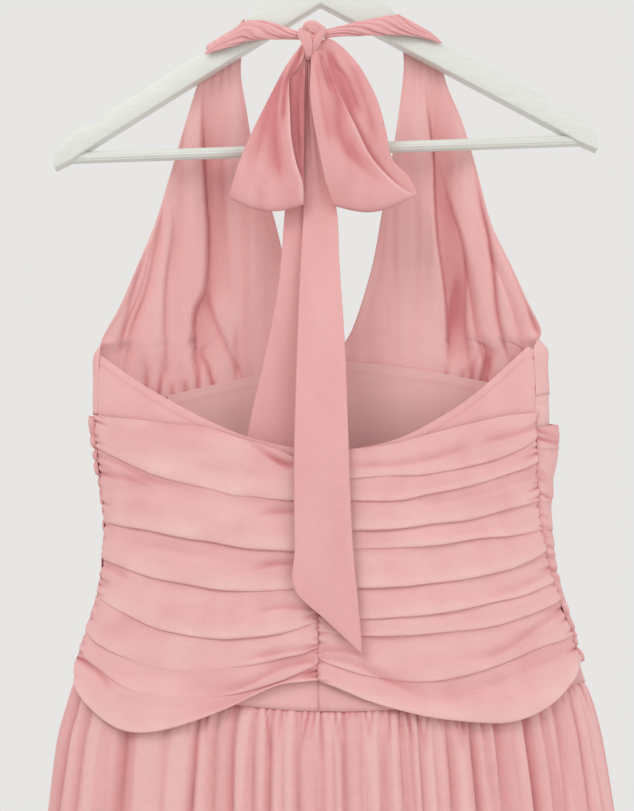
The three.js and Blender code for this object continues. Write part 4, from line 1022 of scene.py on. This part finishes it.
def makeTie(name, table, hand, seed):
    sides, rows = tieLook["sides"], tieLook["rows"]
    table = np.array(table, float)
    along = np.linspace(table[0, 0], table[-1, 0], rows)[:, None]
    part = shares(rows - 1)[:, None]
    depth, height, tall, thick = (lookUp(table, along, c) for c in (1, 2, 3, 4))
    turn = (np.arange(sides) / sides * 2 * np.pi)[None, :]
    twist = tieLook["turns"] * smooth(part, 0.1, 1.0) * hand
    sway = tieLook["sway"] * softNoise(part * 4, np.sin(turn) * 1.2, seed)
    crease = creasedRound(turn / (2 * np.pi) + twist + sway, tieCreases)
    ends = smooth(np.minimum(part, 1 - part), -0.01, 0.02)
    size = (1 - tieLook["creaseDepth"] * crease * smooth(part, 0.04, 0.2)) * blend(0.4, 1, ends)
    rings = np.stack(np.broadcast_arrays(
        along, depth - thick / 2 * size * np.cos(turn), height + tall / 2 * size * np.sin(turn)), -1)
    # painted shade in the creases
    tone = tieLook["openTone"] + tieLook["creaseShade"] * crease
    tone = tone + tieLook["clouds"] * softNoise(part * 12, np.sin(turn) * 3, seed + 2)
    finishPiece(makeRoll(name, rings, tone), name, chiffon)


makeTie("neck_tie_left", leftTie, 1, 61)
makeTie("neck_tie_right", rightTie, -1, 62)

# The knot: bands of cloth wrapped round each other. Each row is side, depth, height, how wide and how thick
knotBands = {
    "core": [(-6.6, -15, -124, 6, 5), (-7, -15.2, -127, 15, 10), (-7.4, -15.4, -133, 18.5, 12.5),
             (-7.6, -15.4, -140, 15.5, 12.5), (-8.8, -15.4, -147.5, 10, 11), (-9.6, -15.4, -152.5, 5, 7)],
    "wrap": [(-16.2, -16.4, -127.5, 4, 4), (-15, -19.6, -131.5, 8, 4.6), (-12.2, -22, -137.5, 9, 5),
             (-10.2, -22, -144, 7.5, 4.6), (-10, -19.6, -151, 4, 4)],
    "cap": [(-13, -17.4, -128.6, 5, 4), (-10, -20.6, -126.2, 9, 5), (-4.8, -21.6, -127, 10, 5),
            (0, -20.2, -131, 8.5, 4.6), (-1.6, -18.4, -137, 5, 4)],
    "turn": [(2.2, -16.6, -125.6, 3, 3), (1.6, -19.4, -128, 5, 3.4), (-0.6, -21.2, -134, 6, 4),
             (-4.4, -20.6, -141.5, 6, 4), (-7, -18, -148, 3, 3)],
}
knotCreases = [(0.16, 0.7), (0.27, 0.9), (0.36, 0.5)]
knotLook = {
    "sides": 44, "rows": 48, "creaseWide": 0.028, "creaseDepth": 0.2, "openTone": 0.34, "creaseShade": 0.4,
}


def rollAlong(table):
    # a flattened roll along the table's points, with the tone of each place
    sides, rows = knotLook["sides"], knotLook["rows"]
    keys = np.array(table, float)
    along = np.concatenate([[0], np.cumsum(np.linalg.norm(np.diff(keys[:, :3], axis=0), axis=1))])
    rowsTable = np.concatenate([along[:, None], keys], 1)
    wanted = np.linspace(0, along[-1], rows)
    line = np.stack([lookUp(rowsTable, wanted, c) for c in (1, 2, 3)], 1)
    wide, thick = lookUp(rowsTable, wanted, 4), lookUp(rowsTable, wanted, 5)
    forward = np.gradient(line, axis=0)
    forward /= np.linalg.norm(forward, axis=1)[:, None]
    outward = np.array([0.0, -1.0, 0.0]) + forward * forward[:, 1:2]
    outward /= np.linalg.norm(outward, axis=1)[:, None]
    sideways = np.cross(forward, outward)
    share = np.arange(sides) / sides
    turn = share * 2 * np.pi
    crease = creasedRound(share, knotCreases, knotLook["creaseWide"])
    size = 1 - knotLook["creaseDepth"] * crease
    ring = (sideways[:, None, :] * (wide[:, None] / 2 * np.cos(turn) * size)[..., None]
            + outward[:, None, :] * (thick[:, None] / 2 * np.sin(turn) * size)[..., None])
    # painted shade in the creases
    tone = knotLook["openTone"] + knotLook["creaseShade"] * crease
    return line[:, None, :] + ring, np.broadcast_to(tone, (rows, sides))


def makeKnot():
    parts = []
    for key, table in knotBands.items():
        parts.append(makeRoll("bow_knot" if key == "core" else key, *rollAlong(table)))
    bpy.ops.object.select_all(action="DESELECT")
    for part in parts:
        part.select_set(True)
    bpy.context.view_layer.objects.active = parts[0]
    bpy.ops.object.join()
    finishPiece(parts[0], "bow_knot", chiffon)


makeKnot()
print("ties and knot made")


# The bow's loops: the front layer from the knot down, the turn at the bottom and the back layer up again.
# Each row: left side and height, right side and height, how far it sags between them, depth
leftLoop = [
    (-15, -139, -12, -140, 0, -16.5), (-22, -149, -13.5, -151, 0, -20), (-29, -160, -18.5, -160, 1, -23),
    (-37.5, -176, -25.3, -171, 1.5, -26), (-48.5, -199, -24.8, -198, 2, -28.5),
    (-58.5, -221, -23.6, -220, 3, -30), (-67.5, -244, -19.5, -241, 4, -30),
    (-72.2, -260, -14.4, -257, 6, -28.5), (-73.4, -266.5, -13.6, -270, 8, -26.5),
    (-73.5, -269, -13.6, -274, 8.5, -23.5), (-73.2, -266.5, -13.6, -271, 8, -20.5),
    (-71, -255, -13.6, -256, 4, -18.5), (-64, -235, -13.4, -235, 2, -18),
    (-52, -208, -13.2, -208, 1, -17.5), (-40, -182, -13, -182, 0, -17),
    (-28, -162, -12.4, -162, 0, -16.5), (-18, -148, -12, -149, 0, -16), (-15, -141, -11, -142, 0, -15.6),
]
rightLoop = [
    (-6, -139, 0, -138.5, 0, -17), (-7.6, -151, 2, -150, 0, -21), (-8.4, -168, 7.5, -166, 1, -25),
    (-8.6, -182, 15, -181, 2, -27.5), (-6.1, -205, 26.8, -207, 3, -30.5), (-1.3, -231, 41, -236, 4, -32),
    (3.6, -255, 60, -257, 6, -31.5), (8, -268, 72, -265, 8, -29.5), (10, -274, 76.6, -266.5, 9.5, -27),
    (10.4, -275, 77.5, -266, 10, -24.5), (10, -271, 77.5, -262, 8, -22), (5, -256, 71, -250, 5, -20.5),
    (0, -237, 58.6, -236, 3, -19.5), (-3, -213, 53, -211, 2, -19), (-5, -190, 46.5, -187, 1, -18.5),
    (-5, -170, 36.5, -166, 0, -18), (-4, -155, 27, -152, 0, -17.5), (-2, -146, 14, -139, 0, -16.8),
    (-2, -140, 5, -134, 0, -16.2),
]
# The creases of each loop's front and back layer, in the order that foldLines reads
leftFront = [
    ([(-20, -152), (-29, -161), (-35.4, -183), (-37.3, -212), (-36, -233), (-32.8, -253)], 2.8, 9, 3, 0.4),
    ([(-26, -162), (-39.4, -189), (-48.2, -217), (-52, -239)], 1.8, 8, 4, 0.25),
    ([(-17, -144), (-21, -156), (-28, -176), (-30.5, -205)], 2.6, 3, 2.2, 0.45),
    ([(-15, -143), (-19, -156), (-24, -168)], 2.2, 1.6, 1.6, 0.5),
    ([(-34, -200), (-33, -225), (-28, -250)], 1.2, 4, 5, 0.12),
]
leftBack = [([(-13.1, -152), (-18.4, -181), (-19.2, -202), (-18, -230)], 2.0, 3, 2, 0.3)]
rightFront = [
    ([(1, -150), (8, -170), (14.9, -189), (15.3, -212), (22.9, -233), (35, -246)], 3.4, 6, 10, 0.42),
    ([(-3, -148), (-1.5, -170), (2, -195), (7, -225)], 1.6, 3, 7, 0.22),
    ([(-1, -146), (3.5, -160), (8, -176)], 2.2, 2, 2, 0.45),
    ([(22, -215), (32, -240), (48, -258)], 1.0, 6, 6, 0.1),
]
rightBack = [
    ([(7, -143), (13.4, -158), (20.8, -168), (31, -196)], 2.2, 5, 3, 0.35),
    ([(4, -142), (9, -156), (16, -174), (24, -196)], 2.6, 3, 4, 0.5),
    ([(13, -142), (25, -160), (37, -190), (45, -220)], 1.2, 5, 4, 0.2),
]
loopLook = {
    "columns": 64, "step": 2.0, "thick": 0.7, "rounding": 0.35, "turnRow": 9, "ripple": 0.6, "lipWide": 0.05,
    "lipOut": 0.9, "openTone": 0.52, "lipHighlight": 0.35, "clouds": 0.1,
}
# How much painted shade the inside gets: all over in the left loop, and beside the front layer's edge in the
# right one, where it fades over the reach
insideShadeTone = {"left": 0.55, "right": 0.9, "rightReach": 4.5}


def makeLoop(name, rows, frontLines, backLines, insideShade, seed):
    share = shares(loopLook["columns"])
    belly = 1 - loopLook["rounding"] * (2 * share - 1) ** 2
    start = rows[0][5]
    keys = []
    for left, leftHeight, right, rightHeight, sag, depth in rows:
        height = blend(leftHeight, rightHeight, share) - sag * np.sin(np.pi * share)
        keys.append(np.stack([blend(left, right, share), start + (depth - start) * belly, height], -1))
    keys = np.stack(keys)
    points, along = smoothRows(keys, loopLook["step"])
    gaps = np.linalg.norm(np.diff(keys.mean(1), axis=0), axis=1)
    turnAt = gaps[:loopLook["turnRow"]].sum()
    front = smooth(-along, -turnAt - 4, -turnAt + 10)[:, None]
    side, height = points[..., 0], points[..., 2]
    push, tone = foldLines(side, height, frontLines)
    backPush, backTone = foldLines(side, height, backLines)
    ripple = loopLook["ripple"] * softNoise(side / 10, height / 40, seed + 1)
    points[..., 1] += push * front + backPush * (1 - front) + ripple
    shadow = (1 - front) * smooth(-height, 150, 175) * smooth(height, -266, -240) * insideShade(side, height)
    # the front layer's open edge turns towards whoever looks, and gets a painted highlight for the light it
    # catches
    turned = np.exp(-((1 - share) / loopLook["lipWide"]) ** 2) * front * smooth(-height, 155, 185)
    points[..., 1] -= loopLook["lipOut"] * turned
    # the creases bring painted shade and the open edge a painted highlight
    tone = loopLook["openTone"] + tone * front + backTone * (1 - front)
    tone = tone + shadow - loopLook["lipHighlight"] * turned
    tone += loopLook["clouds"] * softNoise(side / 8, height / 30, seed)
    makeSheet(name, points, tone, loopLook["thick"])


def leftInside(side, height):
    return insideShadeTone["left"] + 0 * side


def rightInside(side, height):
    frontEdge = lookUp([(row[2], row[3]) for row in rightLoop[1:9]], height, 0, key=1)
    past = np.maximum(side - frontEdge, 0) / insideShadeTone["rightReach"]
    return insideShadeTone["right"] * np.exp(-past ** 2)


makeLoop("bow_loop_left", leftLoop, leftFront, leftBack, leftInside, 71)
makeLoop("bow_loop_right", rightLoop, rightFront, rightBack, rightInside, 73)

# The tails: left side and height, right side and height, depth
outerTail = [
    (-11.6, -150, -6.6, -150, -14.2), (-13.2, -177, -4, -177, -12.4), (-13.4, -226, 4, -226, -11.6),
    (-14, -279, 13.4, -279, -13.5), (-16.3, -322, 15.4, -322, -18), (-18.8, -390, 19.5, -390, -30),
    (-20.8, -468, 22, -468, -44.5), (-21, -502, 23, -502, -47), (-20.5, -553, 25.5, -553, -48),
    (-20, -585.5, 30, -602, -49.6), (4.5, -609, 31.5, -622.5, -51), (30, -632.5, 31.6, -634, -52),
]
innerTail = [
    (-13.4, -150, -8, -150, -10.4), (-17, -176, -6, -176, -8.8), (-25.5, -225, -4, -225, -7.8),
    (-29.5, -279, -8, -279, -8.6), (-34, -335, -5, -335, -10.5), (-42, -382, 0, -382, -12),
    (-59, -460, 8, -460, -14.5), (-67, -529, 12.5, -529, -16), (-72.5, -587, 17.5, -623, -17),
]
tailLook = {
    "columns": 40, "step": 2.8, "thick": 0.7, "curl": 1.5, "pleat": 1.6, "ripple": 0.5, "openTone": 0.42,
    "pleatShade": 0.25, "clouds": 0.06,
}
tailPleats = np.array([-0.05, 0.3, 0.62, 1.05])


def makeTail(name, table, seed):
    share = shares(tailLook["columns"])
    keys = []
    for left, leftHeight, right, rightHeight, depth in table:
        curl = tailLook["curl"] * min(1, (right - left) / 40)
        height = blend(leftHeight, rightHeight, share)
        keys.append(np.stack([blend(left, right, share), depth - curl * np.sin(np.pi * share), height], -1))
    points, _ = smoothRows(np.stack(keys), tailLook["step"])
    side, height = points[..., 0], points[..., 2]
    top = smooth(height, -290, -165)
    pleat = swells(share[None, :] + 0 * height, tailPleats)
    points[..., 1] -= tailLook["pleat"] * (pleat - 0.5) * top
    points[..., 1] += tailLook["ripple"] * softNoise(side / 22, height / 90, seed)
    # painted shade between the pleats
    tone = tailLook["openTone"] + tailLook["pleatShade"] * (1 - pleat) * top
    tone = tone + tailLook["clouds"] * softNoise(side / 14, height / 60, seed + 1)
    makeSheet(name, points, tone, tailLook["thick"])


makeTail("bow_tail_outer", outerTail, 81)
makeTail("bow_tail_inner", innerTail, 84)
print("bow made")


# The hanger: painted wooden arms with softened edges, a fluted bar and a round hook
woodLook = {"edge": 1.3, "edgeSteps": 3, "edgeAngle": 50, "smoothAngle": 35}
barLook = {"sides": 96, "flutes": 12, "fluteDeep": 0.32, "smoothAngle": 40}


def makeArms():
    whole = woodOutline + [(-x, z) for x, z in reversed(woodOutline[1:-1])]
    piece = addPiece(bpy.ops.mesh.primitive_circle_add, "hanger_wood_made",
                     vertices=len(whole), radius=1, fill_type="NGON")
    for vertex, (x, z) in zip(piece.data.vertices, whole):
        vertex.co = onHanger(hanger["middle"] + x, -hanger["thickness"] / 2, z) * mm
    bpy.ops.object.mode_set(mode="EDIT")
    bpy.ops.mesh.select_all(action="SELECT")
    bpy.ops.mesh.extrude_region_move(TRANSFORM_OT_translate={"value": (0, hanger["thickness"] * mm, 0)})
    faceOutwards()
    soft = piece.modifiers.new("edge", "BEVEL")
    soft.width = woodLook["edge"] * mm
    soft.segments = woodLook["edgeSteps"]
    soft.limit_method = "ANGLE"
    soft.angle_limit = math.radians(woodLook["edgeAngle"])
    bpy.ops.object.modifier_apply(modifier=soft.name)
    finishPiece(piece, "hanger_wood", paint)
    bpy.ops.object.shade_smooth_by_angle(angle=math.radians(woodLook["smoothAngle"]))


def makeBar():
    piece = addPiece(bpy.ops.mesh.primitive_cylinder_add, "hanger_bar_made",
                     vertices=barLook["sides"], radius=1, depth=2)
    for vertex in piece.data.vertices:
        x, y, z = vertex.co
        turn = math.atan2(y, x)
        flute = (0.5 + 0.5 * math.cos(barLook["flutes"] * turn)) ** 3
        radius = hanger["barRadius"] - barLook["fluteDeep"] * flute
        place = (hanger["middle"] + z * hanger["barHalfLength"], radius * math.cos(turn),
                 hanger["barHeight"] + radius * math.sin(turn))
        vertex.co = onHanger(*place) * mm
    faceOutwards()
    finishPiece(piece, "hanger_bar", paint)
    bpy.ops.object.shade_smooth_by_angle(angle=math.radians(barLook["smoothAngle"]))


makeArms()
makeBar()
# the hook stays the part's own solid and gets its finish here
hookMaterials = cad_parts["hanger_hook"].data.materials
hookMaterials.clear()
hookMaterials.append(steel)
print("hanger made")


# Floor, camera and light
stage = {"floor": -1.62, "floorSize": 7.0, "floorColor": (0.78, 0.775, 0.76, 1), "floorRoughness": 0.9}
view = {"place": (-0.0029, -1.3467, -0.5695), "tilt": 94.0, "lens": 73.5, "sensor": 36, "rise": 0.06}
# Each lamp: name, place, what it is aimed at, size, power and colour
lights = [
    ("key", (-1.2, -1.9, 1.5), (0, 0, -0.4), 1.4, 27, (1, 0.99, 0.97)),
    ("fill", (1.9, -2.4, 0.2), (0, 0, -0.45), 2.6, 22, (1, 1, 1)),
    ("back", (0.6, 2.4, 0.8), (0, 0, -0.5), 2.4, 10, (1, 1, 1)),
]
backdrop = {"bright": (0.80, 0.79, 0.775), "dim": (0.71, 0.705, 0.70), "dimTo": -0.5, "brightFrom": 0.4}


def makeFloor():
    floor = addPiece(bpy.ops.mesh.primitive_plane_add, "floor",
                     size=stage["floorSize"], location=(0, 0, stage["floor"]))
    material, _, shader = newMaterial("paleFloor")
    setSockets(shader, {"Base Color": stage["floorColor"], "Roughness": stage["floorRoughness"]})
    floor.data.materials.append(material)


def makeCamera():
    bpy.ops.object.camera_add(location=view["place"], rotation=(math.radians(view["tilt"]), 0, 0))
    camera = bpy.context.object
    camera.data.lens = view["lens"]
    camera.data.sensor_width = view["sensor"]
    camera.data.shift_y = view["rise"]
    bpy.context.scene.camera = camera


def makeLight(name, place, aim, size, power, color):
    bpy.ops.object.light_add(type="AREA", location=place)
    lamp = bpy.context.object
    lamp.name = name
    lamp.data.size = size
    lamp.data.energy = power
    lamp.data.color = color
    x, y, z = np.array(aim) - np.array(place)
    lamp.rotation_euler = (math.acos(-z / math.dist((x, y, z), (0, 0, 0))), 0, math.atan2(-x, y))


def makeWorld():
    # a pale room, a little dimmer on the side that the picture is taken from
    world = bpy.data.worlds.new("studio")
    world.use_nodes = True
    tree = world.node_tree
    place = node(tree, "ShaderNodeSeparateXYZ")
    tree.links.new(node(tree, "ShaderNodeTexCoord").outputs["Generated"], place.inputs[0])
    share = node(tree, "ShaderNodeMapRange")
    setSockets(share, {"From Min": backdrop["dimTo"], "From Max": backdrop["brightFrom"]})
    tree.links.new(place.outputs["Y"], share.inputs["Value"])
    mix = node(tree, "ShaderNodeMix", data_type="RGBA")
    mix.inputs["A"].default_value = (*backdrop["dim"], 1)
    mix.inputs["B"].default_value = (*backdrop["bright"], 1)
    tree.links.new(share.outputs["Result"], mix.inputs["Factor"])
    tree.links.new(mix.outputs["Result"], tree.nodes["Background"].inputs["Color"])
    bpy.context.scene.world = world


makeFloor()
makeCamera()
for light in lights:
    makeLight(*light)
makeWorld()
bpy.context.scene.view_settings.view_transform = "Standard"
print("stage set")
